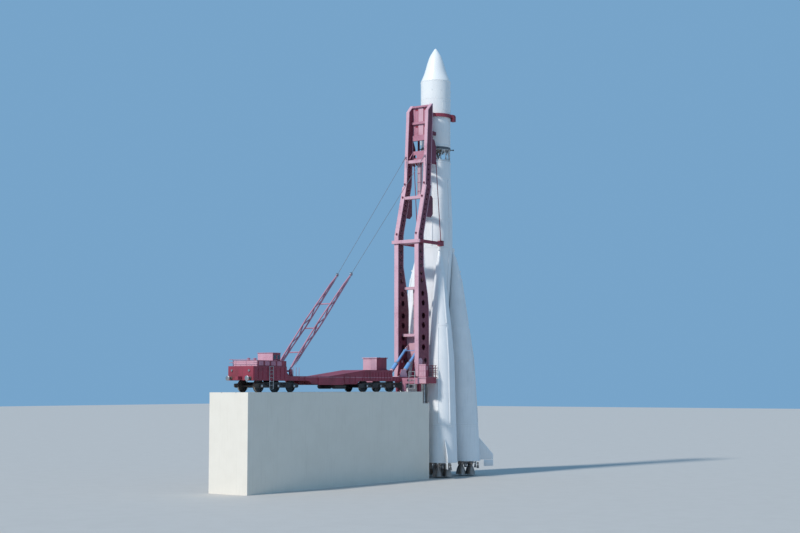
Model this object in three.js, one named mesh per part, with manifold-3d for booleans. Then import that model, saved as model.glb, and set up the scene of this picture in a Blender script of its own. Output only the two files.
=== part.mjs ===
// Space rocket held upright by the railway car that carries and raises it.
// Millimetres, +Z up. The origin is on the rocket's axis at the height of the rail heads.
// The railway car stands toward -X; "s" is the distance from the rocket's axis toward the car (x = -s).
// Side 1 is +Y and side -1 is -Y, the side that faces the viewer.

import * as THREE from "three";
import { mergeVertices } from "three/addons/utils/BufferGeometryUtils.js";
import Module from "manifold-3d";

const wasm = await Module();
wasm.setup();

// Sizes of the whole
const GAP = 0.3; // between two faces that rest on each other
const RUN = 0.6; // clearance of a pin in its bore
const TAIL_DROP = 7320; // the nozzles' mouths hang this far below the rail heads
const OUTLINE_SIDES = 24; // facets round the large tanks
const SMALL_SIDES = 8; // facets round nozzles and pins

// Rocket, heights above the nozzles' mouths
const TIP = 38360;
const FAIRING_BASE = 32000;
const FAIRING_R = 1350;
const STAGE3_BASE = 29210;
const STAGE3_R = 1320;
const CORE_TOP = 27870;
const CORE_BASE = 1300;
const CORE_R = 1025; // the long lower cylinder
const CORE_WAIST_R = 1475; // the widest part, above the strap-ons
const CORE_NECK_R = 1324;
const STRAP_TOP = 19800;
const STRAP_TAIL_JOINT = 4400;
const STRAP_BASE = 1200;
const FIN_SPAN_R = 5150; // fin tips, from the rocket's axis
const NOZZLE_R = 360;
const NOZZLE_PITCH = 420; // main nozzles stand at plus and minus this in a square
const VERNIER_HINGE_Z = 1000;
const VERNIER_LENGTH = 450;
const VERNIER_R = 110;

// Boom and its hinge
const BOOM_IN = 868; // inner faces of the two girders
const BOOM_OUT = 1289;
const BOOM_OUT_TOP = 1180; // the upper lengths are narrower
const FLANGE = 70;
const WEB = 30;
const PIVOT = { s: 4300, z: 2600 };
const PIN_R = 110;
const CHEEK = { inner: 690, outer: 800 };

// Lifting cylinders
const LIFT_Y = 675;
const LIFT_PIN_R = 60;
const LIFT_BASE = { s: 6450, z: 1250 };
const LIFT_TOP = { s: 3700, z: 3750 };
const BARREL_R = 170;
const BARREL_LENGTH = 1840;
const BARREL_FLOOR = 160; // bottom of the bore, from the base pin
const ROD_R = 115;
const ROD_TAIL = 2017; // from the top pin down to the rod's lower end
const FORK_LENGTH = 300;

// Stay arms and the stays to the boom
const ARM_BASE = { s: 21200, z: 1620 };
const ARM_TIP = { s: 13400, z: 9600 };
const ARM_Y = 720;
const ARM_PIN_R = 70;
const STAY_TOP = { s: 3290, y: 1030, z: 20700 };
const STAY_R = 30;
const EYE_HALF = 36; // half width of the eye at the stay's upper end

// Railway car
const CAR_HALF = 1250;
const SILL_IN = 1050;
const WELL_HALF = 880;
const CAR_FRONT = 4950;
const CAR_REAR = 25900;
const WHEEL_R = 475;
const WHEEL_FLANGE_R = 505;
const AXLE_R = 60;
const AXLE_PITCH = 1870;
// Centre's s, how high the car's support over it reaches, axles and half length
const BOGIES = [
  { s: 8995, top: 1750, count: 4, half: 3800 },
  { s: 22970, top: 1860, count: 3, half: 2500 },
];
const BOGIE_SIDE = { inner: 940, outer: 1060 };

const COLOURS = {
  white: 0xe6e8ec,
  pale: 0xd9dde2,
  metal: 0x8a8d92,
  dark: 0x3a3f46,
  rose: 0xb0708a,
  crimson: 0x7c2340,
  blue: 0xa9c4dc,
  black: 0x1b1b1e,
};

// Shapes.

// One closed body from a three.js geometry, facing out.
function solid(geometry) {
  let g = geometry.clone();
  g.deleteAttribute("normal");
  if (g.attributes.uv) g.deleteAttribute("uv");
  g = mergeVertices(g, 1e-2);
  const index = g.index.array;
  const corners = [];
  for (let i = 0; i < index.length; i += 3) {
    const [a, b, c] = [index[i], index[i + 1], index[i + 2]];
    if (a !== b && b !== c && c !== a) corners.push(a, b, c);
  }
  const make = (list) =>
    new wasm.Manifold(
      new wasm.Mesh({
        numProp: 3,
        vertProperties: new Float32Array(g.attributes.position.array),
        triVerts: new Uint32Array(list),
      }),
    );
  const body = make(corners);
  if (body.volume() > 0) return body;
  const flipped = [];
  for (let i = 0; i < corners.length; i += 3) flipped.push(corners[i], corners[i + 2], corners[i + 1]);
  return make(flipped);
}

// All the bodies as one.
function join(...bodies) {
  return bodies.flat().reduce((whole, body) => whole.add(body));
}

// The first body with the others taken away.
function cut(body, ...others) {
  return others.flat().reduce((rest, tool) => rest.subtract(tool), body);
}

// Box between two values on each axis.
function box(x0, x1, y0, y1, z0, z1) {
  const g = new THREE.BoxGeometry(x1 - x0, y1 - y0, z1 - z0);
  g.translate((x0 + x1) / 2, (y0 + y1) / 2, (z0 + z1) / 2);
  return solid(g);
}

// Box by distance s toward the car.
function carBox(s0, s1, y0, y1, z0, z1) {
  return box(-s1, -s0, y0, y1, z0, z1);
}

// Plate whose outline is in (s, z) and whose thickness runs from y0 to y1.
function plate(points, y0, y1, holes = []) {
  const shape = new THREE.Shape(points.map(([s, z]) => new THREE.Vector2(-s, z)));
  for (const [s, z, r, sides] of holes) {
    const ring = Array.from({ length: sides }, (_, i) => {
      const a = ((i + 0.5) / sides) * 2 * Math.PI;
      return new THREE.Vector2(-s + r * Math.cos(a), z + r * Math.sin(a));
    });
    shape.holes.push(new THREE.Path(ring));
  }
  const g = new THREE.ExtrudeGeometry(shape, { depth: y1 - y0, bevelEnabled: false });
  g.rotateX(Math.PI / 2);
  g.translate(0, y1, 0);
  return solid(g);
}

// Radius of a many-sided bore in which a pin of radius r turns.
const boreFor = (r, sides) => (r + RUN) / Math.cos(Math.PI / sides);

// Body turned about the Z axis from rows of [radius, height], rising on its outside.
function turned(rows, sides, x = 0, y = 0, start = 0) {
  const g = new THREE.LatheGeometry(rows.map(([r, z]) => new THREE.Vector2(r, z)), sides, start);
  g.rotateX(Math.PI / 2);
  g.translate(x, y, 0);
  return solid(g);
}

// Body turned about a line along Y through (s, z), from rows of [radius, y].
function turnedAcross(rows, sides, s, z) {
  const g = new THREE.LatheGeometry(rows.map(([r, y]) => new THREE.Vector2(r, y)), sides);
  g.translate(-s, 0, z);
  return solid(g);
}

// Straight bar with flat ends between two points; turned by half a facet, or not at all for a pin.
function bar(from, to, radius, sides = 4, half = true) {
  const a = new THREE.Vector3(...from);
  const b = new THREE.Vector3(...to);
  const along = b.clone().sub(a);
  const g = new THREE.CylinderGeometry(radius, radius, along.length(), sides);
  if (half) g.rotateY(Math.PI / sides);
  g.applyQuaternion(new THREE.Quaternion().setFromUnitVectors(new THREE.Vector3(0, 1, 0), along.normalize()));
  g.translate((a.x + b.x) / 2, (a.y + b.y) / 2, (a.z + b.z) / 2);
  return solid(g);
}

// Body through level rings; each ring is {x, r, z}.
function ringed(rings, sides) {
  const points = [];
  for (const { x, r, z } of rings)
    for (let i = 0; i < sides; i++) {
      const a = ((i + 0.5) / sides) * 2 * Math.PI;
      points.push(x + r * Math.cos(a), r * Math.sin(a), z);
    }
  const faces = [];
  const last = (rings.length - 1) * sides;
  for (let k = 0; k < last; k += sides)
    for (let i = 0; i < sides; i++) {
      const j = (i + 1) % sides;
      faces.push(k + i, k + j, k + sides + j, k + i, k + sides + j, k + sides + i);
    }
  for (let i = 1; i < sides - 1; i++) faces.push(0, i + 1, i, last, last + i, last + i + 1);
  const g = new THREE.BufferGeometry();
  g.setAttribute("position", new THREE.Float32BufferAttribute(points, 3));
  g.setIndex(faces);
  return solid(g);
}

// Outline of a strip of the given thickness on the left of a line of (s, z) points.
function strip(points, thickness) {
  const line = points.map(([s, z]) => new THREE.Vector2(s, z));
  const normal = (a, b) => {
    const d = b.clone().sub(a).normalize();
    return new THREE.Vector2(-d.y, d.x);
  };
  const inner = line.map((p, i) => {
    const n1 = i > 0 ? normal(line[i - 1], p) : normal(p, line[i + 1]);
    const n2 = i < line.length - 1 ? normal(p, line[i + 1]) : n1;
    const mid = n1.clone().add(n2).normalize();
    return p.clone().addScaledVector(mid, thickness / mid.dot(n1));
  });
  return [...points, ...inner.reverse().map((p) => [p.x, p.y])];
}

const group = new THREE.Group();
group.name = "rocket_on_erector";

// Adds one named node; turn is in degrees about the rocket's axis.
function node(name, colour, body, turn = 0) {
  const mesh = body.getMesh();
  const n = mesh.numProp;
  const points = new Float32Array(mesh.numVert * 3);
  for (let i = 0; i < mesh.numVert; i++) points.set(mesh.vertProperties.subarray(i * n, i * n + 3), i * 3);
  const g = new THREE.BufferGeometry();
  g.setAttribute("position", new THREE.BufferAttribute(points, 3));
  g.setIndex(new THREE.BufferAttribute(mesh.triVerts, 1));
  if (turn) g.rotateZ((turn * Math.PI) / 180);
  g.computeVertexNormals();
  const item = new THREE.Mesh(g, new THREE.MeshStandardMaterial({ color: COLOURS[colour] }));
  item.name = name;
  group.add(item);
}

// Rocket.

// Height above the nozzles' mouths to height above the rail heads.
const up = (z) => z - TAIL_DROP;

// Nozzle open at its mouth: closed top at z = top, mouth at z = mouth.
function nozzle(x, y, mouth, top, mouthR) {
  const h = top - mouth;
  const rows = [
    [0, mouth + 0.6 * h],
    [0.93 * mouthR, mouth],
    [mouthR, mouth],
    [0.76 * mouthR, mouth + 0.38 * h],
    [0.4 * mouthR, mouth + 0.75 * h],
    [0.46 * mouthR, top],
    [0, top],
  ];
  return turned(rows.map(([r, z]) => [r, up(z)]), SMALL_SIDES, x, y);
}

// Four nozzles under one round plate.
function engine(x, plateTop, plateR) {
  const body = [turned([[0, up(plateTop - 110)], [plateR, up(plateTop - 110)], [plateR, up(plateTop)],
    [0, up(plateTop)]], 12, x)];
  for (const i of [-1, 1])
    for (const j of [-1, 1])
      body.push(nozzle(x + i * NOZZLE_PITCH, j * NOZZLE_PITCH, 0, plateTop - 60, NOZZLE_R));
  return join(body);
}

// Hanger of one steering nozzle: a block with a bore, and the nozzle with its stub axle.
const HANGER = { near: 150, far: 230, half: 70, stub: 30 };
function hanger(x, y, top) {
  const z = up(VERNIER_HINGE_Z);
  const block = box(x - HANGER.far, x - HANGER.near, y - HANGER.half, y + HANGER.half, z - 75, up(top));
  return cut(block, bar([x - HANGER.far - 10, y, z], [x - HANGER.near + 10, y, z], boreFor(HANGER.stub, 8), 8));
}
function vernier(x, y) {
  const z = up(VERNIER_HINGE_Z);
  return join(
    nozzle(x, y, VERNIER_HINGE_Z - VERNIER_LENGTH, VERNIER_HINGE_Z + 80, VERNIER_R),
    bar([x - HANGER.far + 5, y, z], [x + 20, y, z], HANGER.stub, 8, false),
  );
}

// Fairing, rows of [radius, height].
const FAIRING = [
  [0, FAIRING_BASE + GAP],
  [FAIRING_R, FAIRING_BASE + GAP],
  [FAIRING_R, 35280],
  [1285, 35400],
  [1060, 35950],
  [895, 36480],
  [745, 37010],
  [560, 37540],
  [362, 37900],
  [128, 38260],
  [0, TIP],
];
node("payload_fairing", "white", turned(FAIRING.map(([r, z]) => [r, up(z)]), OUTLINE_SIDES));

node(
  "third_stage",
  "white",
  turned([[0, STAGE3_BASE], [1290, STAGE3_BASE], [STAGE3_R, STAGE3_BASE + 60], [STAGE3_R, FAIRING_BASE],
    [0, FAIRING_BASE]].map(([r, z]) => [r, up(z)]), OUTLINE_SIDES),
);

// Open frame between core and third stage.
const TRUSS = {
  outer: 1324,
  inner: 1210,
  low: [CORE_TOP + GAP, 28020],
  high: [28940, STAGE3_BASE - GAP],
  pairs: 8,
};
{
  const ring = ([z0, z1]) =>
    turned([[TRUSS.inner, z0], [TRUSS.outer, z0], [TRUSS.outer, z1], [TRUSS.inner, z1], [TRUSS.inner, z0]]
      .map(([r, z]) => [r, up(z)]), OUTLINE_SIDES);
  const body = [ring(TRUSS.low), ring(TRUSS.high)];
  const mid = (TRUSS.outer + TRUSS.inner) / 2 - 8;
  const at = (turn, z) => [mid * Math.cos(turn), mid * Math.sin(turn), up(z)];
  for (let i = 0; i < TRUSS.pairs; i++) {
    const top = ((i + 0.5) / TRUSS.pairs) * 2 * Math.PI;
    for (const way of [-0.42, 0.42]) {
      const foot = top + (way / TRUSS.pairs) * 2 * Math.PI;
      body.push(bar(at(foot, TRUSS.low[1] - 40), at(top + way * 0.12, TRUSS.high[0] + 40), 45));
    }
  }
  // Four fittings that stand out from the upper ring.
  for (const turn of [45, 135, 225, 315]) {
    const a = (turn * Math.PI) / 180;
    const reach = (r) => [r * Math.cos(a), r * Math.sin(a), up(29075)];
    body.push(bar(reach(1260), reach(1660), 70));
  }
  node("interstage_truss", "pale", join(body));
}

{
  const body = [turned([[0, 29080], [900, 29080], [900, STAGE3_BASE - GAP], [0, STAGE3_BASE - GAP]]
    .map(([r, z]) => [r, up(z)]), 16)];
  body.push(nozzle(0, 0, 28130, 29120, 380));
  for (const [x, y] of [[700, 0], [-700, 0], [0, 700], [0, -700]]) body.push(nozzle(x, y, 28600, 29120, 120));
  node("third_stage_engine", "metal", join(body));
}

// Core: rows of [radius, height]; four upper sockets and four lower pads of the strap-ons; steering hangers.
const CORE = [
  [0, CORE_BASE],
  [CORE_R, CORE_BASE],
  [CORE_R, 13100],
  [CORE_WAIST_R, 20100],
  [CORE_WAIST_R, 22600],
  [CORE_NECK_R, 26400],
  [CORE_NECK_R, CORE_TOP],
  [0, CORE_TOP],
];
const STRAP_TURNS = [45, 135, 225, 315];
const VERNIER_CORE_R = 800;
const PAD_R = 1200; // where core and strap-on pads meet
{
  const turn = (g, degrees) => g.rotateZ((degrees * Math.PI) / 180);
  const arm = (x0, x1, half, z0, z1, degrees) => {
    const g = new THREE.BoxGeometry(x1 - x0, 2 * half, z1 - z0);
    g.translate((x0 + x1) / 2, 0, (up(z0) + up(z1)) / 2);
    return solid(turn(g, degrees));
  };
  const body = [turned(CORE.map(([r, z]) => [r, up(z)]), OUTLINE_SIDES)];
  for (const degrees of STRAP_TURNS) {
    body.push(arm(1300, 1680, 90, STRAP_TOP + GAP, 20150, degrees));
    body.push(arm(900, PAD_R, 140, 2000, 2300, degrees));
  }
  let whole = join(body);
  for (let i = 0; i < 4; i++) {
    const high = CORE_BASE + 40 - VERNIER_HINGE_Z + 75;
    const g = new THREE.BoxGeometry(HANGER.far - HANGER.near, 2 * HANGER.half, high);
    g.translate(VERNIER_CORE_R - (HANGER.far + HANGER.near) / 2, 0,
      (up(VERNIER_HINGE_Z) - 75 + up(CORE_BASE + 40)) / 2);
    const hole = new THREE.CylinderGeometry(boreFor(HANGER.stub, 8), boreFor(HANGER.stub, 8), 200, 8);
    hole.rotateY(Math.PI / 8);
    hole.rotateZ(Math.PI / 2);
    hole.translate(VERNIER_CORE_R - 190, 0, up(VERNIER_HINGE_Z));
    whole = join(whole, cut(solid(turn(g, i * 90)), solid(turn(hole, i * 90))));
  }
  node("core_stage", "white", whole);
  node("core_engine", "metal", engine(0, CORE_BASE - GAP, 560));
  for (let i = 0; i < 4; i++) node("core_vernier_" + (i + 1), "metal", vernier(VERNIER_CORE_R, 0), i * 90);
}

// Strap-ons: columns are distance below the tip, the ring's centre from the rocket's axis, radius.
const STRAP = [
  [0, 1560, 60],
  [250, 1600, 120],
  [600, 1668, 215],
  [2200, 1820, 468],
  [6700, 2012, 950],
  [9600, 2230, 1168],
  [18600, 2620, 1340],
];
const STRAP_SIDES = 20;
// Ring of the strap-on at a height.
function strapRing(height) {
  const d = STRAP_TOP - height;
  const i = Math.max(1, STRAP.findIndex((row) => row[0] >= d));
  const [a, b] = [STRAP[i - 1], STRAP[i]];
  const t = (d - a[0]) / (b[0] - a[0]);
  return { x: a[1] + t * (b[1] - a[1]), r: a[2] + t * (b[2] - a[2]), z: up(height) };
}
const STRAP_ENGINE_X = strapRing(STRAP_BASE).x;
const VERNIER_STRAP = { out: 1020, side: 550 };
const FIN = [[3850, 3300], [FIN_SPAN_R, 1750], [FIN_SPAN_R, 700], [4300, 700], [4300, 1230],
  [3850, 1230]];
const FIN_HALF = 30;
STRAP_TURNS.forEach((turn, i) => {
  const heights = STRAP.map((row) => STRAP_TOP - row[0]).filter((height) => height > STRAP_TAIL_JOINT);
  const upper = heights.map(strapRing);
  const tank = [ringed([...upper, strapRing(STRAP_TAIL_JOINT + GAP)].reverse(), STRAP_SIDES)];
  const knob = strapRing(18060);
  tank.push(box(knob.x + knob.r - 60, knob.x + knob.r + 90, -60, 60, knob.z - 60, knob.z + 60));
  node("strap_on_tank_" + (i + 1), "white", join(tank), turn);

  const tail = [ringed([strapRing(STRAP_BASE), strapRing(STRAP_TAIL_JOINT)], STRAP_SIDES)];
  const shape = new THREE.Shape(FIN.map(([r, z]) => new THREE.Vector2(r, up(z))));
  const fin = new THREE.ExtrudeGeometry(shape, { depth: 2 * FIN_HALF, bevelEnabled: false });
  fin.rotateX(Math.PI / 2);
  fin.translate(0, FIN_HALF, 0);
  tail.push(solid(fin), box(PAD_R + GAP, 1500, -140, 140, up(2000), up(2300)));
  for (const side of [-1, 1])
    tail.push(hanger(STRAP_ENGINE_X + VERNIER_STRAP.out, side * VERNIER_STRAP.side, STRAP_BASE + 40));
  node("strap_on_tail_" + (i + 1), "white", join(tail), turn);

  node("strap_on_engine_" + (i + 1), "metal", engine(STRAP_ENGINE_X, STRAP_BASE - GAP, 560), turn);
  for (const side of [-1, 1])
    node("strap_on_vernier_" + (2 * i + (side < 0 ? 1 : 2)), "metal",
      vernier(STRAP_ENGINE_X + VERNIER_STRAP.out, side * VERNIER_STRAP.side), turn);
});

// Boom.

// Girder outline, (s, z): back line rising, front line falling.
const BACK = [[4615, 1300], [4615, 13600], [3330, 18300], [2950, 24300], [2930, 24850], [2300, 25500]];
const FRONT = [[2190, 25500], [2190, 24500], [2520, 18300], [3700, 14000], [3780, 13600], [3780, 10900],
  [3160, 8400], [2990, 7100], [2990, 1300]];
const STEP_Z = 18100; // the flanges are narrower above this
// Holes in the webs: columns are z, s, radius.
const WEB_HOLES = [
  [2700, 3550, 200], [3840, 3850, 260], [4700, 3850, 260], [5760, 3850, 260], [6580, 3850, 260],
  [7680, 3880, 250], [8500, 3950, 230], [9630, 4060, 200], [10270, 4150, 190], [10920, 4200, 190],
  [11570, 4200, 190], [12150, 4200, 190],
];
// Fittings on the girders' backs: columns are z, how far they stand out.
const BACK_LUGS = [[13750, 120], [17100, 130], [18300, 130]];
// Side plates that reach forward from the girders' front, outlines in (s, z), and where they stand across.
const CRADLES = [
  [[2440, 20100], [1650, 20100], [1650, 21700], [1950, 22300], [2330, 22300]],
  [[3360, 15300], [2500, 15300], [2190, 15600], [2190, 17000], [2350, 17200], [2840, 17200]],
];
const CRADLE_Y = [1080, 1160];

// s on a line of (s, z) points at height z.
function onLine(line, z) {
  for (let i = 1; i < line.length; i++) {
    const [a, b] = [line[i - 1], line[i]];
    const within = (z - a[1]) * (z - b[1]) <= 0 && a[1] !== b[1];
    if (within) return a[0] + ((z - a[1]) / (b[1] - a[1])) * (b[0] - a[0]);
  }
  return line[0][0];
}

function girder(side) {
  const across = (y0, y1) => (side > 0 ? [y0, y1] : [-y1, -y0]);
  const outline = [...BACK, ...FRONT];
  const holes = WEB_HOLES.map(([z, s, r]) => [s, z, r, 8]);
  // The lower part up to the step is wide, and the upper part narrow; a shelf joins them.
  const above = carBox(1000, 6000, ...across(BOOM_OUT_TOP, BOOM_OUT + 10), STEP_Z, 27000);
  const flanges = [
    plate(strip([...BACK, FRONT[0]], FLANGE), ...across(BOOM_IN, BOOM_OUT)),
    plate(strip(FRONT, FLANGE), ...across(BOOM_IN, BOOM_OUT)),
    plate(outline, ...across(BOOM_OUT - WEB, BOOM_OUT), holes),
  ];
  const body = [
    plate(outline, ...across(BOOM_IN, BOOM_IN + WEB), holes),
    cut(join(flanges), above),
    cut(plate(outline, ...across(BOOM_OUT_TOP - WEB, BOOM_OUT_TOP)),
      carBox(1000, 6000, ...across(BOOM_IN, BOOM_OUT), 1000, STEP_Z - 30)),
    carBox(onLine(FRONT, STEP_Z) + 20, onLine(BACK, STEP_Z) - 20, ...across(BOOM_OUT_TOP - 20, BOOM_OUT - 10),
      STEP_Z - 40, STEP_Z - 2),
    carBox(3000, 4600, ...across(BOOM_IN + 5, BOOM_OUT - 5), 1302, 1370),
    ...CRADLES.map((outline) => plate(outline, ...across(...CRADLE_Y))),
  ];
  for (const [z, out] of BACK_LUGS) {
    const s = onLine(BACK, z);
    body.push(carBox(s - 30, s + out, ...across(980, 1080), z - 80, z + 80));
  }
  // Eye of the stay.
  const s = onLine(BACK, STAY_TOP.z);
  for (const w of [-1, 1])
    body.push(carBox(s - 60, STAY_TOP.s + 60, ...across(STAY_TOP.y + w * (EYE_HALF + GAP + 12) - 12,
      STAY_TOP.y + w * (EYE_HALF + GAP + 12) + 12), STAY_TOP.z - 90, STAY_TOP.z + 90));
  // Hinge boss and the pin that turns in the cheek.
  const boss = [[0, 650], [PIN_R, 650], [PIN_R, CHEEK.outer + 6], [300, CHEEK.outer + 6],
    [300, BOOM_OUT - 15], [0, BOOM_OUT - 15]];
  body.push(turnedAcross(side > 0 ? boss : boss.map(([r, y]) => [r, -y]).reverse(), 12, PIVOT.s, PIVOT.z));
  return join(body);
}
node("boom_girder_near", "rose", girder(-1));
node("boom_girder_far", "rose", girder(1));

// Cross members between the girders: columns are s0, s1, z0, z1.
const INSIDE = BOOM_IN - GAP;
const CROSS_BEAMS = [
  [3500, 3940, 4780, 5020],
  [3350, 3750, 8900, 9130],
  [3850, 4360, 12870, 13130],
  [3200, 3640, 16900, 17150],
  [2640, 3090, 20180, 20450],
].map(([s0, s1, z0, z1]) => carBox(s0, s1, -INSIDE, INSIDE, z0, z1));
const DUCT_HALF = 200;
// Lower frame: the foot's panel with the lugs of the lifting cylinders, and a duct up to the second beam.
{
  const body = [CROSS_BEAMS[0], CROSS_BEAMS[1]];
  body.push(carBox(3050, 3200, -DUCT_HALF, DUCT_HALF, 2700, 7850));
  body.push(carBox(3180, 3420, -60, 60, 7700, 8950));
  body.push(carBox(3100, 3600, -DUCT_HALF, DUCT_HALF, 4820, 4980));
  body.push(plate([[3190, 2800], [3310, 3300], [3310, 4800], [3190, 4800]], -INSIDE, INSIDE));
  const lug = [[3200, 3350], [3660, 3620], [3790, 3670], [3820, 3750], [3790, 3830], [3700, 3870],
    [3200, 4150]];
  for (const side of [-1, 1]) body.push(plate(lug, side * LIFT_Y - 40, side * LIFT_Y + 40));
  node("boom_cross_frame", "rose", join(body));
}
node("boom_middle_beam", "rose", CROSS_BEAMS[2]);
// Upper frame: two beams and the member between them.
node("boom_upper_frame", "rose", join(CROSS_BEAMS[3], CROSS_BEAMS[4],
  plate([[2500, 20180], [2500, 17150], [3300, 16950], [3300, 17100], [2650, 17300], [2650, 20200],
    [2700, 20250], [2700, 20400]], -DUCT_HALF, DUCT_HALF)));

// Head: a panel between the girders' fronts with bars on its back, and a lower plate with a round hole.
const HEAD = { front: 2240, back: 2330, low: 22270, high: 25300 };
const HATCH = { front: 2410, back: 2470, low: 20500, high: 21330, y: 560, z: 20830, r: 190 };
{
  const across = (s0, s1, z0, z1) => carBox(s0, s1, -INSIDE, INSIDE, z0, z1);
  const body = [
    across(HEAD.front, HEAD.back, HEAD.low, HEAD.high),
    across(HEAD.back - 10, 2500, 25250, 25400),
    across(HEAD.back - 10, 2500, 23750, 23950),
    across(HEAD.back - 10, 2480, HEAD.low, 22750),
    cut(across(HATCH.front, HATCH.back, HATCH.low, HATCH.high),
      bar([-HATCH.back - 20, HATCH.y, HATCH.z], [-HATCH.front + 20, HATCH.y, HATCH.z], HATCH.r, 12)),
    bar([-2450, 790, 21250], [-3000, 790, 20600], 45),
  ];
  for (const side of [-1, 1]) {
    const [y0, y1] = side > 0 ? [INSIDE - 60, INSIDE] : [-INSIDE, -INSIDE + 60];
    body.push(carBox(HATCH.front, 2480, y0, y1, HATCH.low, HEAD.low + 40));
  }
  node("boom_head", "rose", join(body));
}

// Collar round the fairing's foot: an open U held by the head.
const COLLAR = {
  low: 24560,
  high: 24860,
  inner: FAIRING_R + GAP,
  outer: 1480,
  reach: 840,
  back: -HEAD.front + GAP,
};
{
  const half = (r) => {
    const line = [];
    for (let i = 0; i <= 14; i++) {
      const a = Math.PI / 2 + (i / 14) * Math.PI;
      line.push([r * Math.cos(a), r * Math.sin(a)]);
    }
    return line;
  };
  const bandLine = [[400, COLLAR.outer], ...half(COLLAR.outer), [400, -COLLAR.outer], [400, -COLLAR.inner],
    ...half(COLLAR.inner).reverse(), [400, COLLAR.inner]];
  const level = (points, z0, z1) => {
    const g = new THREE.ExtrudeGeometry(new THREE.Shape(points.map(([x, y]) => new THREE.Vector2(x, y))),
      { depth: z1 - z0, bevelEnabled: false });
    g.translate(0, 0, z0);
    return solid(g);
  };
  const body = [level(bandLine, COLLAR.low, COLLAR.high)];
  for (const side of [-1, 1]) {
    const [y0, y1] = side > 0 ? [1352, 1560] : [-1560, -1352];
    body.push(box(360, COLLAR.reach, y0, y1, COLLAR.low, COLLAR.high));
    body.push(box(450, COLLAR.reach, side > 0 ? 1300 : -1620, side > 0 ? 1620 : -1300, 24250, 24760));
    const arm = side > 0 ? [560, INSIDE - 70] : [-INSIDE + 70, -560];
    body.push(box(COLLAR.back, -1200, ...arm, COLLAR.low, COLLAR.high - 20));
  }
  body.push(box(COLLAR.back, COLLAR.back + 90, -INSIDE + 70, INSIDE - 70, COLLAR.low, COLLAR.high - 20));
  const round = turned([[0, 20000], [COLLAR.inner, 20000], [COLLAR.inner, 27000], [0, 27000]], OUTLINE_SIDES);
  node("fairing_collar", "rose", cut(join(body), round));
}

// Saddle under the third stage: on each side an upper and a lower arm from the head, tied by a post.
const SADDLE = {
  high: { back: -HEAD.front + GAP, z0: up(30150), z1: up(30450) },
  low: { back: -HATCH.front + GAP, z0: 20560, z1: 20740 },
  arm: [630, 770],
};
{
  const body = [];
  for (const { back, z0, z1 } of [SADDLE.high, SADDLE.low]) {
    for (const side of [-1, 1]) {
      const [y0, y1] = side > 0 ? SADDLE.arm : [-SADDLE.arm[1], -SADDLE.arm[0]];
      body.push(box(back, -1050, y0, y1, z0, z1));
      body.push(box(-1760, -1620, y0, y1, SADDLE.low.z0 + 90, SADDLE.high.z0 + 150));
    }
    body.push(box(back, back + 70, -INSIDE, INSIDE, z0, z1));
  }
  const low = CORE_NECK_R + GAP;
  const high = STAGE3_R + GAP;
  const round = turned([[0, 20000], [low, 20000], [low, up(STAGE3_BASE + 30)], [high, up(STAGE3_BASE + 90)],
    [high, 27000], [0, 27000]], OUTLINE_SIDES);
  node("stage_saddle", "crimson", cut(join(body), round));
}

// Clamp at the foot of the core's cone.
const CLAMP = { low: 12900, high: 13180, back: 4740, reach: -1000 };
{
  const body = [];
  for (const side of [-1, 1]) {
    const [y0, y1] = side > 0 ? [1320, 1480] : [-1480, -1320];
    body.push(box(-CLAMP.back, CLAMP.reach, y0, y1, CLAMP.low, CLAMP.high));
    const pad = side > 0 ? [1000, 1480] : [-1480, -1000];
    body.push(box(CLAMP.reach - 250, CLAMP.reach + 50, ...pad, CLAMP.low - 40, CLAMP.high + 140));
  }
  body.push(box(-CLAMP.back, -4615 - GAP, -1480, 1480, CLAMP.low, CLAMP.high));
  node("core_clamp", "crimson", cut(join(body), coreWith(GAP)));
}
// The core's own shape a little larger, to cut what rests on it.
function coreWith(extra) {
  return turned(CORE.map(([r, z]) => [r ? r + extra : 0, up(z)]), OUTLINE_SIDES);
}

// Lifting cylinders.
{
  const base = new THREE.Vector3(-LIFT_BASE.s, 0, LIFT_BASE.z);
  const top = new THREE.Vector3(-LIFT_TOP.s, 0, LIFT_TOP.z);
  const along = top.clone().sub(base);
  const length = along.length();
  along.normalize();
  const at = (d, y) => [base.x + along.x * d, y, base.z + along.z * d];
  const pinHalf = WELL_HALF + 80;
  const barrels = [bar([base.x, -pinHalf, base.z], [base.x, pinHalf, base.z], LIFT_PIN_R, SMALL_SIDES, false)];
  const rods = [];
  for (const side of [-1, 1]) {
    const y = side * LIFT_Y;
    barrels.push(cut(bar(at(-150, y), at(BARREL_LENGTH, y), BARREL_R, 12),
      bar(at(BARREL_FLOOR, y), at(BARREL_LENGTH + 20, y), ROD_R + RUN, 12)));
    rods.push(bar(at(length - ROD_TAIL, y), at(length - FORK_LENGTH, y), ROD_R, 12));
    for (const w of [-1, 1]) {
      const g = new THREE.BoxGeometry(FORK_LENGTH + 160, 40, 150);
      g.rotateY(-Math.atan2(along.z, along.x));
      const [x, , z] = at(length - FORK_LENGTH / 2 + 40, 0);
      g.translate(x, y + w * 66, z);
      rods.push(solid(g));
    }
    rods.push(bar(at(length - FORK_LENGTH - 40, y), at(length - FORK_LENGTH + 20, y), 120, 12));
  }
  const [x, , z] = at(length - FORK_LENGTH, 0);
  rods.push(bar([x, -LIFT_Y, z], [x, LIFT_Y, z], 30, 8));
  node("lift_barrels", "rose", join(barrels));
  node("lift_rods", "blue", join(rods));
}

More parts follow.
